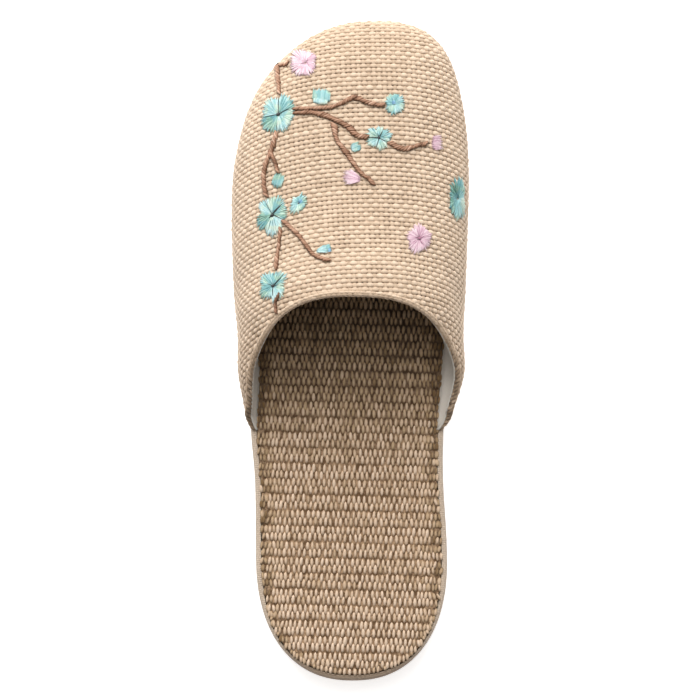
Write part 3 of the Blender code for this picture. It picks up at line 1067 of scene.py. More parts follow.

# %% [markdown]
# ## The embroidered branch
#
# The motif was machine-embroidered on the cut cloth: petals are long and short satin stitches that
# fan out of a knot, and the bark is stem stitch over a core painted dark as shade. The drawing is
# made flat, in millimetres from the middle of the slipper, and pricked through onto the form along
# the camera's line of sight. Each stitch is then a thread of its own that rises out of the cloth.

# %% Thread colours
SATIN = {"sheen": 0.05, "streak": 2200.0, "depth": 0.05 * MM, "slub": 0.12}
teal = yarn_finish(
    "teal_thread",
    (
        (0.0, (0.08, 0.21, 0.23)),
        (0.35, (0.165, 0.385, 0.40)),
        (0.7, (0.325, 0.58, 0.58)),
        (1.0, (0.54, 0.72, 0.72)),
    ),
    0.42,
    dye=(
        (0.0, (0.09, 0.22, 0.18)),
        (0.35, (0.22, 0.43, 0.35)),
        (0.7, (0.45, 0.63, 0.52)),
        (1.0, (0.66, 0.77, 0.67)),
    ),
    **SATIN,
)
pink = yarn_finish(
    "pink_thread",
    (
        (0.0, (0.30, 0.10, 0.17)),
        (0.4, (0.56, 0.33, 0.42)),
        (0.7, (0.74, 0.52, 0.59)),
        (1.0, (0.83, 0.68, 0.71)),
    ),
    0.42,
    **SATIN,
)
bark = yarn_finish(
    "bark_thread",
    (
        (0.0, (0.15, 0.072, 0.038)),
        (0.4, (0.33, 0.175, 0.107)),
        (0.7, (0.46, 0.27, 0.18)),
        (1.0, (0.66, 0.44, 0.32)),
    ),
    0.45,
    **SATIN,
)

SKY_STOPS = ((0.0, (0.10, 0.24, 0.42)), (0.5, (0.26, 0.48, 0.66)), (1.0, (0.50, 0.72, 0.84)))
sky = yarn_finish("sky_thread", SKY_STOPS, 0.42, **SATIN)
INK_STOPS = ((0.0, (0.022, 0.024, 0.024)), (0.5, (0.05, 0.055, 0.055)), (1.0, (0.12, 0.12, 0.12)))
ink = yarn_finish("dark_thread", INK_STOPS, 0.5, **SATIN)
print("Threads dyed:", ", ".join(finish.material.name for finish in (teal, pink, bark, sky, ink)))

# %% Stitch tools


def prick(x, y):
    """Where a point of the drawing, in mm, lands on the form, and the way out of the cloth there."""
    through = AIM + Vector((x * MM, y * MM * math.sin(ELEVATION), y * MM * math.cos(ELEVATION)))
    sight = (through - camera.location).normalized()
    place, normal, _, _ = last.ray_cast(camera.location, sight)
    if place is None:
        place, normal, _, _ = last.find_nearest(through)
    return place, normal if normal.dot(sight) < 0 else -normal


def stitch(strands, line, lift, half_width, half_height, tone, ends=0.05):
    """A thread along a line of the drawing. It dives into the cloth at both ends. Sizes in mm."""
    spots = [prick(*spot) for spot in line]
    t = np.linspace(0, 1, len(line))
    rise = (ends + (lift - ends) * np.sin(math.pi * t) ** 0.4) * MM
    up = np.array([normal for _, normal in spots])
    centre = np.array([place for place, _ in spots]) + up * rise[:, None]
    strands.add(centre, up, half_width * MM, half_height * MM, tone, round_ends=True)


def way(degrees):
    return np.array((math.cos(math.radians(degrees)), math.sin(math.radians(degrees))))


UNDERLAY_STEP, UNDERLAY_REACH = 9, 0.88  # degrees apart, and share of the petal's length
KNOT_CLEAR = 0.4  # mm from the knot, where every second stitch starts


def at_angle(table, degrees, column=1):
    """A column of a table of degrees and values, read at an angle."""
    return np.interp(degrees, table[:, 0], table[:, column], period=360)


def rosette(strands, knot, petals, tones, ragged=0.04, gap=0.31):
    """Satin stitches round a knot. petals: (degrees, length in mm); tones: (degrees, inner, outer)."""
    petals, tones = np.array(petals, float), np.array(tones, float)
    count = int(2 * math.pi * petals[:, 1].mean() / gap)
    for degrees in range(0, 360, UNDERLAY_STEP):  # flat, so that no cloth shows between the stitches
        far = at_angle(petals, degrees) * UNDERLAY_REACH
        # painted shade: the underlay, lying under the stitches, is a little darker than their tips
        shade = at_angle(tones, degrees, 2) - 0.12
        t = np.linspace(0.1, 1, 4)
        line = [np.array(knot) + way(degrees) * far * v for v in t]
        stitch(strands, line, 0.22, 0.05 + 0.085 * far * t, 0.10, shade, ends=0.20)
    for i in range(count):
        degrees = 360 * (i + rng.uniform(-0.3, 0.3)) / count
        far = at_angle(petals, degrees) * (1 + ragged * rng.normal())
        near = KNOT_CLEAR if i % 2 == 0 else far * rng.uniform(0.25, 0.45)
        inner, outer = at_angle(tones, degrees, 1), at_angle(tones, degrees, 2)
        sway = rng.normal(0, 2.5)
        t = np.linspace(0, 1, 6)
        line = [np.array(knot) + way(degrees + sway * v) * (near + (far - near) * v) for v in t]
        shade = inner + (outer - inner) * t + rng.normal(0, 0.17)
        stitch(strands, line, 0.40 + 0.06 * rng.uniform(-1, 1), 0.12 + 0.14 * t, 0.17, shade)


def patch(strands, centre, towards, length, width, tones, fan=0.0, ragged=0.12):
    """A bud: satin stitches side by side. fan spreads them by that many degrees to each side."""
    count = max(int(width / 0.32), 4)
    across_way = way(towards + 90)
    for i in range(count):
        u = (i + 0.5) / count * 2 - 1
        along = way(towards + fan * u)
        far = length * (0.5 - 0.14 * abs(u) ** 2) * (1 + ragged * rng.normal())
        near = -length * (0.5 - 0.16 * abs(u) ** 2) * (1 + ragged * 0.5 * rng.normal())
        shift = across_way * u * width / 2
        t = np.linspace(0, 1, 6)
        if fan:
            foot = np.array(centre) - way(towards) * length / 2 + shift * 0.25
            line = [foot + along * (far - near) * v for v in t]
        else:
            line = [np.array(centre) + shift + along * (near + (far - near) * v) for v in t]
        shade = tones[0] + (tones[1] - tones[0]) * t + rng.normal(0, 0.12)
        stitch(strands, line, 0.44 + 0.07 * rng.uniform(-1, 1), 0.21, 0.18, shade)


def veins(strands, knot, rays, tone=0.05, lift=0.62):
    """Fine stitches over the petals: (degrees, start, end, half-width)."""
    for degrees, start, end, half_width in rays:
        ray = way(degrees)
        line = [np.array(knot) + ray * (start + (end - start) * k / 4) for k in range(5)]
        stitch(strands, line, lift, half_width * np.linspace(1.1, 0.6, 5), 0.15, tone, ends=0.42)


def french_knot(strands, knot, radius, tone, lift=0.6):
    """A small round knot."""
    line = [np.array(knot) + way(20) * radius * t for t in (-1, -0.75, 0, 0.75, 1)]
    half = radius * np.array((0.25, 0.66, 1.0, 0.66, 0.25))
    stitch(strands, line, lift, half, half * 0.6, tone, ends=lift - 0.1)


STEM_STEP = 1.15  # mm from one stem stitch to the next
STEM_STITCH = 2.3  # mm, how long each is


def wander(count, reach):
    """A run of numbers that drifts by about one up or down, slowly over the reach given."""
    knots = np.arange(0, count + 2 * reach, reach)
    return np.interp(np.arange(count), knots, rng.normal(size=len(knots)))


def stem(strands, points, half_width, tone=0.40, lift=0.55):
    """Stem stitch along a line of the drawing: overlapping slanted stitches over a dark core of painted
    shade.
    """
    points = np.array(points, float)
    padded = np.concatenate([[2 * points[0] - points[1]], points, [2 * points[-1] - points[-2]]])
    line = even_line(smooth_rows(padded, 12)[12:-12], 0.25)
    n = len(line)
    half = np.interp(np.linspace(0, 1, n), np.linspace(0, 1, len(half_width)), half_width)
    half = half * (1.0 + 0.16 * wander(n, 9))
    along = unit(np.gradient(line, axis=0))
    beside = np.stack([-along[:, 1], along[:, 0]], axis=1)
    keys = np.linspace(0, n - 1, max(n // 3, 4)).astype(int)
    # painted shade: a dark core under the stitches stands for the shade between them
    stitch(strands, line[keys], 0.32, half[keys] * 0.86, 0.22, 0.06, ends=0.1)
    for start in np.arange(-3, n - 4, STEM_STEP / 0.25):
        shade = tone + rng.normal(0, 0.16)
        slant = 0.88 + rng.normal(0, 0.14)
        reach = STEM_STITCH * rng.uniform(0.85, 1.2) / 2
        middle = int(np.clip(start + 4, 0, n - 1))
        t = np.linspace(-1, 1, 5)
        path = line[middle] + np.outer(t * reach, along[middle])
        path = path + np.outer(t * slant * half[middle], beside[middle])
        thick = rng.uniform(0.46, 0.66)
        height = lift + rng.uniform(-0.15, 0.25)
        # painted shade: each stitch darkens towards its ends, where it dives into the cloth
        stitch(strands, path, height, thick, thick * 0.9, shade - 0.30 * abs(t) ** 2, ends=0.10)


# %% Sew the branch
bark_threads, ink_threads, sky_threads = Strands(7, underside_shade=0.55), Strands(4), Strands(4)
for points, half_width in (
    (((-24.2, 112.9), (-26.5, 112.0), (-28.8, 112.0)), (0.45, 0.5)),
    (((-28.8, 113.2), (-28.4, 108.0), (-27.8, 100.5)), (0.85, 0.85)),
    (
        (
            (-21.7, 95.0), (-12.5, 95.2), (-7.2, 95.7), (-3.3, 97.2), (0.2, 99.1), (2.6, 99.2),
            (8.5, 97.0), (14.0, 96.3),
        ),
        (0.5, 0.6, 0.85, 0.7),
    ),
    (
        ((-21.9, 93.4), (-13.8, 93.4), (-7.2, 91.3), (-0.6, 87.8), (2.6, 84.6), (7.0, 83.7)),
        (0.6, 0.9, 1.1, 1.0),
    ),
    (((15.6, 81.8), (19.0, 79.8), (22.5, 79.3), (26.0, 80.4), (31.0, 81.6)), (0.85, 0.7)),
    (
        (
            (-6.3, 88.9), (-5.3, 83.1), (-1.6, 78.0), (1.8, 72.9), (4.7, 69.3), (7.5, 67.4),
            (9.1, 65.2),
        ),
        (1.0, 0.65),
    ),
    (((-28.9, 85.5), (-31.1, 78.0), (-33.5, 71.7), (-33.9, 65.8), (-32.9, 60.3)), (0.8, 0.8)),
    (((-31.3, 78.2), (-29.6, 74.1), (-28.3, 69.9)), (0.6, 0.55)),
    (((-26.2, 50.8), (-20.6, 45.5), (-17.1, 41.0), (-14.0, 37.3), (-7.3, 34.7)), (0.7, 0.7)),
    (((-27.3, 47.6), (-28.1, 40.2), (-29.4, 31.1)), (0.6, 0.6)),
):
    stem(bark_threads, points, np.array(half_width) * 1.22)
stem(bark_threads, ((-27.8, 21.8), (-29.2, 18.6), (-28.9, 14.0)), (0.5, 0.5), tone=0.02)
print(len(bark_threads.points), "bark stitches")

# %% Sew the blossoms
teal_threads, pink_threads = Strands(4, underside_shade=0.20), Strands(4, underside_shade=0.20)
KNOT_A, KNOT_B, KNOT_C, KNOT_D = (-28.1, 92.8), (11.4, 83.5), (-30.5, 53.4), (-30.1, 25.2)
# each flower: its knot, how ragged it is, and its rim and tones as rosette takes them
for knot, ragged, petals, tones in (
    (
        KNOT_A, 0.04,
        (
            (25, 6.8), (40, 7.6), (60, 8.4), (75, 8.6), (89, 6.4), (105, 6.7), (129, 7.7),
            (150, 6.8), (172, 6.4), (188, 6.2), (204, 7.7), (220, 8.8), (240, 8.2), (259, 7.7),
            (271, 6.6), (285, 7.3), (305, 6.4), (330, 5.6), (352, 6.0), (10, 6.4),
        ),
        (
            (27, 0.25, 0.62), (60, 0.3, 0.8), (86, 0.55, 0.8), (92, 0.8, 0.85), (140, 0.72, 0.9),
            (186, 0.7, 0.82), (192, 0.3, 0.45), (235, 0.35, 0.6), (262, 0.6, 0.85), (272, 1.0, 1.0),
            (300, 0.78, 0.92), (345, 0.62, 0.88), (20, 0.6, 0.85),
        ),
    ),
    (
        KNOT_B, 0.08,
        (
            (0, 4.8), (20, 5.2), (40, 4.6), (56, 3.6), (75, 4.6), (95, 4.4), (112, 3.6), (135, 5.2),
            (158, 5.2), (180, 4.0), (200, 5.2), (222, 5.0), (250, 3.9), (275, 5.0), (300, 5.2),
            (324, 3.8), (342, 4.4),
        ),
        (
            (0, 0.6, 0.92), (56, 0.4, 0.9), (120, 0.65, 1.0), (180, 0.45, 0.95), (230, 0.75, 1.0),
            (290, 0.7, 1.0),
        ),
    ),
    (
        KNOT_C, 0.04,
        (
            (5, 5.9), (25, 6.0), (46, 6.6), (65, 7.9), (84, 7.2), (102, 6.8), (120, 6.2),
            (138, 7.1), (158, 5.4), (176, 4.4), (192, 6.0), (210, 7.4), (230, 8.2), (242, 6.9),
            (252, 8.3), (270, 9.3), (290, 7.4), (315, 5.6), (332, 4.4), (344, 5.6),
        ),
        (
            (350, 0.42, 0.62), (35, 0.4, 0.62), (48, 0.35, 0.66), (70, 0.45, 0.75),
            (84, 0.66, 0.84), (100, 0.72, 0.84), (115, 0.7, 0.8), (160, 0.75, 0.88),
            (182, 0.45, 0.55), (205, 0.2, 0.45), (236, 0.3, 0.55), (246, 0.95, 1.0),
            (300, 0.9, 1.0), (325, 0.75, 0.85),
        ),
    ),
    (
        KNOT_D, 0.08,
        (
            (0, 4.2), (20, 4.8), (42, 6.6), (60, 6.2), (85, 5.0), (105, 5.4), (135, 6.2),
            (165, 5.6), (185, 4.6), (205, 6.2), (230, 6.4), (252, 5.0), (272, 6.2), (295, 5.8),
            (320, 4.6), (340, 4.4),
        ),
        (
            (0, 0.6, 0.8), (30, 0.35, 0.7), (60, 0.45, 0.8), (100, 0.4, 0.7), (150, 0.35, 0.72),
            (200, 0.3, 0.55), (240, 0.5, 0.75), (265, 0.9, 1.0), (320, 0.8, 0.95),
        ),
    ),
    (
        (-20.3, 57.6), 0.14,
        (
            (20, 3.4), (60, 4.4), (100, 3.0), (150, 2.8), (200, 3.4), (235, 4.4), (270, 3.4),
            (320, 2.6), (350, 3.0),
        ),
        (
            (0, 0.3, 0.75), (60, 0.25, 0.8), (120, 0.35, 0.9), (200, 0.65, 0.8), (250, 0.75, 0.95),
            (310, 0.45, 0.85),
        ),
    ),
    (
        (17.3, 97.0), 0.08,
        (
            (0, 4.4), (40, 4.2), (75, 3.7), (110, 4.0), (135, 4.2), (180, 2.9), (225, 3.9),
            (255, 4.2), (290, 4.3), (325, 4.5),
        ),
        (
            (0, 0.6, 0.8), (60, 0.5, 0.62), (120, 0.42, 0.6), (200, 0.4, 0.62), (260, 0.6, 0.82),
            (310, 0.8, 0.98),
        ),
    ),
):
    rosette(teal_threads, knot, petals, tones, ragged)
for centre, towards, length, width, tones, fan in (
    ((-11.2, 100.1), 84, 5.4, 7.0, (0.74, 0.58), 0),
    ((-11.6, 98.0), 82, 2.8, 5.6, (0.97, 0.92), 0),
    ((2.3, 79.9), 20, 4.2, 3.4, (0.70, 0.62), 0),
    ((1.6, 79.2), 10, 2.6, 1.8, (1.0, 0.95), 0),
    ((-28.3, 66.7), 70, 6.2, 4.2, (0.74, 0.50), 0),
    ((-10.2, 39.6), 16, 6.2, 3.0, (0.85, 0.75), 20),
    ((-8.6, 40.6), 30, 2.4, 1.6, (0.45, 0.60), 0),
):
    patch(teal_threads, centre, towards, length, width, tones, fan)
for knot, ragged, petals, tones in (
    (
        (-17.6, 113.2), 0.07,
        (
            (0, 3.6), (30, 5.0), (60, 4.8), (90, 4.6), (120, 5.8), (150, 6.4), (180, 5.6),
            (210, 6.6), (235, 6.4), (262, 5.0), (290, 5.4), (320, 4.6),
        ),
        ((0, 0.5, 0.74), (90, 0.5, 0.82), (180, 0.64, 0.92), (240, 0.66, 0.94), (300, 0.56, 0.82)),
    ),
    (
        (27.2, 43.9), 0.08,
        (
            (0, 4.6), (25, 5.2), (50, 4.4), (75, 5.6), (100, 5.8), (125, 4.6), (150, 5.0),
            (180, 4.8), (205, 4.2), (235, 5.4), (265, 6.0), (290, 4.8), (320, 5.2), (345, 4.4),
        ),
        (
            (0, 0.45, 0.72), (60, 0.35, 0.8), (120, 0.5, 0.92), (200, 0.45, 0.8), (260, 0.42, 0.88),
            (320, 0.48, 0.8),
        ),
    ),
):
    rosette(pink_threads, knot, petals, tones, ragged, gap=0.25)
patch(pink_threads, (0.6, 67.9), 168, 7.0, 6.0, (0.55, 0.95), 30, ragged=0.15)
patch(pink_threads, (34.2, 81.6), 5, 4.0, 5.6, (0.55, 0.80), 0, ragged=0.2)
print(len(teal_threads.points) + len(pink_threads.points), "petal stitches")

# %% The flower on the inner flank, and the dark stitches
# It lies on the steep side, so it is wider on the form than it looks from above.
petals, tones = (
    (
        (0, 2.4), (30, 2.8), (55, 4.6), (80, 8.6), (100, 8.2), (125, 4.8), (150, 3.6), (180, 2.8),
        (205, 3.4), (235, 5.0), (262, 8.2), (280, 8.6), (305, 5.0), (335, 2.8),
    ),
    (
        (0, 0.75, 0.95), (60, 0.45, 0.6), (90, 0.1, 0.3), (140, 0.05, 0.25), (190, 0.2, 0.4),
        (240, 0.35, 0.6), (270, 0.6, 0.8), (320, 0.9, 1.0),
    ),
)
rosette(teal_threads, (42.4, 59.6), petals, tones, ragged=0.06, gap=0.26)
# the dark and pale lines over the petals: the thread, the flower's knot, the tone and the rays
for strands, knot, tone, rays in (
    (ink_threads, KNOT_A, 0.3, ((88, 0.5, 6.8, 0.16), (26, 0.5, 5.2, 0.22), (192, 0.5, 5.6, 0.16))),
    (teal_threads, KNOT_A, 1.1, ((94, 0.8, 6.0, 0.16), (-93, 0.8, 6.4, 0.22))),
    (ink_threads, KNOT_A, 0.0, ((-97, 2.6, 7.0, 0.13),)),
    (
        ink_threads, KNOT_B, 0.3,
        (
            (178, 0.3, 4.0, 0.22), (62, 0.3, 3.2, 0.22), (-106, 0.3, 4.2, 0.2),
            (-30, 0.3, 3.2, 0.16), (110, 0.3, 2.0, 0.14),
        ),
    ),
    (
        teal_threads, KNOT_B, 0.1,
        ((20, 1.0, 4.2, 0.12), (150, 1.2, 4.2, 0.12), (-75, 1.4, 4.4, 0.12)),
    ),
    (
        ink_threads, KNOT_C, 0.3,
        ((46, 0.2, 5.8, 0.42), (-27, 0.3, 4.6, 0.2), (118, 0.3, 6.6, 0.13), (235, 0.3, 2.2, 0.24)),
    ),
    (
        teal_threads, KNOT_C, 0.05,
        ((258, 1.6, 6.4, 0.12), (275, 2.0, 6.8, 0.12), (289, 1.6, 5.4, 0.12)),
    ),
    (
        ink_threads, KNOT_D, 0.3,
        ((44, 0.2, 5.2, 0.28), (-92, 0.3, 4.2, 0.2), (160, 0.3, 2.6, 0.14), (8, 0.3, 2.6, 0.14)),
    ),
    (
        pink_threads, (-16.9, 113.4), 0.38,
        ((200, 0.0, 2.6, 0.2), (75, 0.0, 1.8, 0.2), (-60, 0.0, 2.0, 0.18)),
    ),
    (
        pink_threads, (27.2, 43.9), 0.15,
        ((25, 0.2, 2.4, 0.2), (165, 0.2, 2.2, 0.2), (-70, 0.2, 2.4, 0.2)),
    ),
):
    veins(strands, knot, rays, tone)
for knot, radius in ((KNOT_A, 0.80), (KNOT_B, 0.50), (KNOT_D, 0.65)):
    french_knot(ink_threads, knot, radius, 0.6)
french_knot(ink_threads, (KNOT_C[0], KNOT_C[1] - 0.4), 0.75, 0.4)
french_knot(pink_threads, (27.2, 43.9), 0.6, 0.1)
for x, y, length, turn in ((-19.4, 58.6, 2.4, 50), (17.2, 97.4, 2.0, 20), (-8.0, 39.2, 1.4, 10)):
    patch(sky_threads, (x, y), turn, length, 1.4, (0.3, 0.7))
embroidery = [
    finish_piece(strands.piece("embroidered_" + name), finish)
    for name, strands, finish in (
        ("bark", bark_threads, bark),
        ("teal", teal_threads, teal),
        ("pink", pink_threads, pink),
        ("veins", ink_threads, ink),
        ("blue", sky_threads, sky),
    )
]

# %% [markdown]
# ## The woven insole
#
# The insole is cut from a coarse paper-and-linen matting: two rows of fat upright floats, then a
# dark line, over and over, on a dark warp whose colour is also painted shade in the gaps. Its sides
# are drawn down by the seam, so the floats there stand closer, lower and dimpled. The floats are one
# small dome repeated on a slightly skewed grid, each with its own size, turn and tone.

# %% Matting finish
UPPER_SHADE_START, UPPER_SHADE_RUN = -62 * MM, 80 * MM  # painted shade: it is darker under the upper, where the upper's shadow falls
HEEL_PALE_START, HEEL_PALE_RUN = -70 * MM, 50 * MM  # and it is a little paler towards the heel
matting = yarn_finish(
    "matting_yarn",
    (
        (0.0, (0.20, 0.122, 0.056)),
        (0.35, (0.44, 0.303, 0.178)),
        (0.7, (0.635, 0.467, 0.325)),
        (1.0, (0.715, 0.55, 0.408)),
    ),
    0.75,
    streak=1300.0,
)
# painted shade: the ground is the matting's dark warp, and also the shade in the gaps between floats
matting_warp_and_gap_shade = Finish("matting_warp_and_gap_shade", Roughness=0.95)
spots = matting_warp_and_gap_shade.between(matting_warp_and_gap_shade.noise(520.0, 2.0), 0.36, 0.66)
along_it = matting_warp_and_gap_shade.node("SeparateXYZ", {}, matting_warp_and_gap_shade.place(), output="Y")
shaded_by_upper = matting_warp_and_gap_shade.between(along_it, UPPER_SHADE_START, UPPER_SHADE_START + UPPER_SHADE_RUN)
matting_warp_and_gap_shade.colour(
    matting_warp_and_gap_shade.scaled(
        matting_warp_and_gap_shade.mix(spots, (0.125, 0.067, 0.030), (0.37, 0.24, 0.142)), 1 - shaded_by_upper * 0.62
    )
)
matting_warp_and_gap_shade.bump(spots, 0.3 * MM)
print("Matting mixed")

# %% Insole pad
FLOAT_RISE = 0.75 * MM  # the tops of the floats stand this far above the ground
LIP = 0.95 * MM  # the matting lies this far out over the band
ROUND_LIP = 1.0 * MM  # and this much further round the heel, but not at its very back
PAD_INSET = INSOLE_INSET - 0.1 * MM
PAD_RINGS = 8  # steps from the pad's edge to its middle line
PAD_HEEL, PAD_TOE = 40 * MM, 42 * MM  # and that line ends this far inside the heel and the toe
CROWN = 0.4 * MM  # its top edge is rounded off by this much
AROUND = 240  # columns round the sole, for the pad and for the band


def lip(phi):
    """How far the insole lies out over the band at an angle."""
    behind = -edge(phi)[1] / MM
    return LIP + ROUND_LIP * (ease((behind - 92) / 20) - 0.9 * ease((behind - 121) / 8))


def pad_column(phi):
    """Half a section of the pad: its underside from the middle line out, the ledge over the band,
    and its crowned top back to the middle line."""
    spine_y = min(max(edge(phi)[1], HEEL_Y + PAD_HEEL), HEEL_Y + SOLE_LENGTH - PAD_TOE)
    spine_x = blend(STATIONS, CENTRE, share(spine_y)) * MM
    under, over = -PAD_INSET, lip(phi) - PAD_INSET

    def spot(ring, out, level, drop=0.0):
        x, y = moved_edge(phi, out - drop)
        inward = ring / PAD_RINGS
        x, y = x + (spine_x - x) * inward, y + (spine_y - y) * inward
        return x, y, level(y) - drop

    points = [spot(k, under, lambda y: foam_top(y) + GAP) for k in range(PAD_RINGS, -1, -1)]
    points += [spot(0, out, lambda y: rim(y) + 0.15 * MM) for out in (under, over)]
    for k in range(PAD_RINGS + 1):
        points.append(spot(k, over, lambda y: insole_top(y) - FLOAT_RISE, 0.0 if k else CROWN))
    return points


pad_points = [pad_column(2 * math.pi * i / AROUND) for i in range(AROUND)]
pad = mesh_object(
    "insole_pad", np.concatenate(pad_points), grid_faces(AROUND, len(pad_points[0]), round_columns=True)
)
weld(pad, reach=0.02 * MM, slivers=True)
if sum(face.center.dot(face.normal) * face.area for face in pad.data.polygons) < 0:
    pad.data.flip_normals()  # its volume came out negative, so it was inside out
pad = finish_piece(pad, matting_warp_and_gap_shade)
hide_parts("insole")

# %% Floats of the matting
FLOAT_SPACING, ROW_PITCH = 2.0 * MM, 3.09 * MM
PAIRING = 0.21 * MM  # rows stand in pairs, each this much nearer to its partner
HALF_WIDTH, HALF_LENGTH = 0.73 * MM, 1.98 * MM
SHORT_WIDTH, SHORT_LENGTH = 0.72 * MM, 1.0 * MM
CLOSE_BY = 1.35 * MM  # a short float is laid where no other lies this near
MAT_TURN = math.radians(-1.4)  # the matting was cut a little askew
SQUEEZED = 8.0 * MM  # the floats stand closer together this near the sides

turns = np.linspace(0, 2 * math.pi, 1441)[:-1]
edge_line = np.array([moved_edge(phi, lip(phi) - INSOLE_INSET) for phi in turns])
edge_run = np.roll(edge_line, -1, axis=0) - np.roll(edge_line, 1, axis=0)
edge_in = unit(np.stack([edge_run[:, 1], -edge_run[:, 0]], axis=1))
edge_tree = tree_of([(x, y, 0) for x, y in edge_line])


def inside_edge(x, y):
    """Distance inside the insole's edge, and the way in."""
    _, index, _ = edge_tree.find((x, y, 0))
    return float((np.array((x, y)) - edge_line[index]) @ edge_in[index]), edge_in[index]


# One float: three rings of eight points, as (radius, height), and a top
around = np.linspace(0, 2 * math.pi, 9)[:-1]
dome_rings = ((1.0, -0.35), (0.88, 0.40), (0.50, 0.86))
dome = [(r * math.cos(a), r * math.sin(a), h) for r, h in dome_rings for a in around] + [(0, 0, 1.0)]
dome = np.array(dome)
dome_faces = [tuple(range(7, -1, -1)), *grid_faces(3, 8, round_rows=True)]
dome_faces += [(16 + k, 16 + (k + 1) % 8, 24) for k in range(8)]


class Floats(Gathered):
    """Small domes."""

    def add(self, x, y, half_width, half_length, rise, turn, tone, sink=0.0):
        local = dome * (half_width, half_length, 1)
        c, s = math.cos(turn), math.sin(turn)
        px = x + local[:, 0] * c - local[:, 1] * s
        py = y + local[:, 0] * s + local[:, 1] * c
        ground_level = insole_top(y) - FLOAT_RISE - sink
        slope = (insole_top(y + 2 * MM) - insole_top(y - 2 * MM)) / (4 * MM)
        pz = ground_level + slope * (py - y) + local[:, 2] * rise
        uv = local[:, (1, 0)] + rng.uniform(0, 5)
        # painted light and shade: each float is paler on top and darker at its foot
        self.gather(np.stack([px, py, pz], axis=1), dome_faces, uv, tone + 0.42 * (dome[:, 2] - 0.72))


floats, centres = Floats(), []
for row in range(-44, 46):
    middle_y = row * ROW_PITCH + (-PAIRING if row % 2 else PAIRING)
    drift, bend = rng.normal(0, 0.04), rng.normal(0, 0.14, 5)
    for i in range(-22, 23):
        across_x = (i + 0.5 * (row % 2)) * FLOAT_SPACING
        x = across_x * math.cos(MAT_TURN) - middle_y * math.sin(MAT_TURN)
        y = across_x * math.sin(MAT_TURN) + middle_y * math.cos(MAT_TURN)
        x += rng.normal(0, 0.11) * MM
        y += (np.interp(i, (-22, -11, 0, 11, 22), bend) + rng.normal(0, 0.12)) * MM
        room, inward = inside_edge(x, y)
        x += max(0.0, SQUEEZED - room) * 0.20 * inward[0]  # the sides are drawn in by the seam
        room, inward = inside_edge(x, y)
        if room < -0.7 * MM:
            continue
        short = max(0.0, (0.10 + 1.05 * abs(inward[1])) * MM - room)  # the outer ones lie up to the band
        x, y = x + short * inward[0], y + short * inward[1]
        room += short
        at_side = abs(inward[0]) * math.exp(-((max(0.0, room - 1.2 * MM) / (3.0 * MM)) ** 2))
        last_row = (1 - abs(inward[0])) * math.exp(-((room / (2.6 * MM)) ** 2))
        dimple = 1.0 if rng.uniform() < 0.45 * at_side else 0.0
        size = rng.uniform(0.92, 1.06)
        upper_shade = ease((y - UPPER_SHADE_START) / UPPER_SHADE_RUN)
        centres.append((x, y))
        floats.add(
            x, y,
            HALF_WIDTH * size * rng.uniform(0.88, 1.12) * (1 - 0.10 * at_side + 0.25 * dimple),
            HALF_LENGTH * size * (1 - 0.15 * at_side - 0.32 * last_row),
            (FLOAT_RISE + 0.05 * MM) * rng.uniform(0.88, 1.05) * (1 - 0.22 * at_side - 0.15 * last_row),
            MAT_TURN + rng.normal(0, 0.05 + 0.12 * at_side),
            0.75
            + drift
            + rng.normal(0, 0.15 + 0.08 * at_side) * (1 - 0.4 * upper_shade)
            - 0.38 * at_side
            - 0.25 * last_row
            - 0.16 * dimple
            - 0.50 * upper_shade
            + 0.20 * ease((HEEL_PALE_START - y) / HEEL_PALE_RUN),
            sink=0.25 * MM * dimple,
        )
laid = tree_of([(x, y, 0) for x, y in centres])
closing = []  # short floats close the steps that the rows leave at the edge
for spot, inward in zip(edge_line[::3], edge_in[::3]):
    x, y = spot + inward * 0.75 * MM
    nearest = min([laid.find((x, y, 0))[2], *(math.dist((x, y), other) for other in closing)])
    if abs(inward[1]) > 0.25 and nearest > CLOSE_BY:
        tone = 0.40 + rng.normal(0, 0.12)
        turn = MAT_TURN + rng.normal(0, 0.2)
        floats.add(x, y, SHORT_WIDTH, SHORT_LENGTH, FLOAT_RISE * 0.8, turn, tone)
        closing.append((x, y))
print(len(closing), "short floats at the edge")
finish_piece(floats.piece("insole_matting"), matting)
print(len(floats.points), "floats")

# %% [markdown]
# ## The band and the soles
#
# A fine cotton band is stretched round the foam and turned in over its top, where it frames the
# insole. It is one ring with a rounded shoulder. The outsole and the foam keep their solids, with
# a moulded rubber and a foam finish.

# %% Cloth band
BAND_PITCH = 0.85 * MM
HEEL_SHADE_SPAN = (-112 * MM, -127 * MM)  # y, from no painted shade to full painted shade round the heel
band_finish = Finish("band_cloth", Roughness=0.85, Sheen_Weight=0.2)
where = band_finish.place()
heelward = band_finish.node("SeparateXYZ", {}, where, output=1)
cloth = band_finish.node("UVMap", {"uv_map": "Cloth"})
over = 1.0  # plain weave: the yarns stand up in domes, over and under by turns
for axis in (0, 1):
    run = band_finish.node("SeparateXYZ", {}, cloth, output=axis) * (math.pi / BAND_PITCH)
    over = band_finish.node("Math", {"operation": "SINE"}, run) * over
domes = band_finish.node("Math", {"operation": "ABSOLUTE"}, over)
fine = band_finish.noise(1500.0, 2.0, where=where)
cloudy = band_finish.noise(90.0, where=where)
facing = band_finish.node("SeparateXYZ", {}, band_finish.node("NewGeometry", {}, output=1), output=2)
top_light = band_finish.between(facing, 0.35, 0.95)
heel_shade = band_finish.between(heelward, *HEEL_SHADE_SPAN)
shade = band_finish.mix(
    fine * 0.25 + domes * 0.35 + over * 0.15 + cloudy * 0.3, (0.46, 0.355, 0.26), (0.72, 0.585, 0.46)
)
shade = band_finish.scaled(shade, 0.90 + top_light * 0.10)
# painted shade: the back of the band, facing away from the lamps, is darkened
shade = band_finish.mix(heel_shade * 0.70, shade, (0.27, 0.182, 0.118))
band_finish.colour(shade)
band_finish.bump(domes * 0.8 + fine * 0.2, 0.20 * MM)


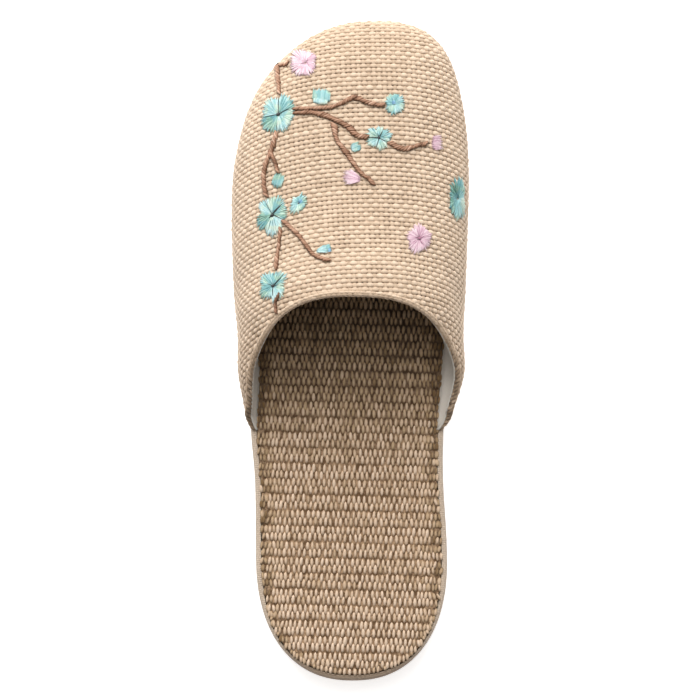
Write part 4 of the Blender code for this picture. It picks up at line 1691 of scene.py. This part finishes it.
def band_profile(y):
    """The band's section as (out, level): up its outer side, over the top and back down inside."""
    low, high = foam_bottom(y), rim(y)
    middle = (low + high) / 2
    return (
        (-COVER_THICKNESS, low),
        (-0.2 * MM, low),
        (0.1 * MM, low + 0.5 * MM),
        (COVER_SWELL, middle),
        (0.2 * MM, high - 1.3 * MM),
        (-0.1 * MM, high - 0.6 * MM),
        (-0.6 * MM, high - 0.12 * MM),
        (-1.3 * MM, high + 0.05 * MM),
        (-RIM_WIDTH + 0.5 * MM, high + 0.05 * MM),
        (-RIM_WIDTH - 0.05 * MM, high - 0.35 * MM),
        (-RIM_WIDTH, foam_top(y) + GAP),
        (-COVER_THICKNESS, foam_top(y) + GAP),
        (COVER_SWELL - COVER_THICKNESS, middle),
    )


band_points = []
for phi in np.linspace(0, 2 * math.pi, AROUND, endpoint=False):
    band_points += [(*moved_edge(phi, out), level) for out, level in band_profile(edge(phi)[1])]
section = np.array(band_profile(0.0))
band = mesh_object("sole_band", band_points, grid_faces(AROUND, len(section), True, True))
reach = run_along([moved_edge(phi, 0) for phi in np.linspace(0, 2 * math.pi, AROUND + 1)])
BAND_LENGTH = reach[-1]
reach *= round(BAND_LENGTH / (2 * BAND_PITCH)) * 2 * BAND_PITCH / BAND_LENGTH  # so that the weave closes
climb = run_along(np.vstack([section, section[:1]]))
cloth_uv = [
    (reach[i + far], climb[k + up])
    for i in range(AROUND)
    for k in range(len(section))
    for far, up in ((0, 0), (0, 1), (1, 1), (1, 0))
]
layer = band.data.uv_layers.new(name="Cloth")
layer.data.foreach_set("uv", np.array(cloth_uv, np.float32).ravel())
weld(band)
band = finish_piece(band, band_finish)
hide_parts("midsole_cover")

# %% Rubber and foam
rubber = Finish("moulded_rubber", Roughness=0.75)
where = rubber.place()
pebble = rubber.node("TexVoronoi", {"feature": "F1"}, Vector=where, Scale=900.0, output="Distance")
dust = rubber.noise(45.0, 4.0, where=where)
speck = rubber.between(rubber.noise(1400.0, 2.0, where=where), 0.60, 0.72)
tone = rubber.mix(dust, (0.30, 0.21, 0.145), (0.38, 0.275, 0.195))
tone = rubber.mix(speck * 0.35, tone, (0.55, 0.44, 0.33))
# the rubber is darker in its lowest millimetre, next to the floor
near_floor = rubber.between(rubber.node("SeparateXYZ", {}, where, output=2), 0.0010, 0.0)
rubber.colour(rubber.mix(near_floor * dust * 0.8, tone, (0.20, 0.155, 0.12)))
rubber.roughness(0.62 + dust * 0.25)
rubber.bump(pebble * 0.6 + dust * 0.4, 0.18 * MM)
foam = Finish("sole_foam", Roughness=0.9)
cells = foam.node("TexVoronoi", {"feature": "F1"}, Vector=foam.place(), Scale=1100.0, output="Distance")
foam.colour(foam.mix(cells, (0.58, 0.54, 0.47), (0.74, 0.70, 0.62)))
foam.bump(cells, 0.15 * MM)
for node, finish in (("outsole", rubber), ("midsole", foam)):
    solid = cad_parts[node]
    solid.data.materials.clear()
    solid.data.materials.append(finish.material)
    print(node, "finished with", finish.material.name)

# %% Areas of the cloth sheets


def skin_area(obj):
    """Half the surface of a closed thin sheet, in square metres."""
    return sum(face.area for face in obj.data.polygons) / 2


for sheet in (backing, lining, band):
    print(sheet.name, "area", round(skin_area(sheet), 5), "m2")
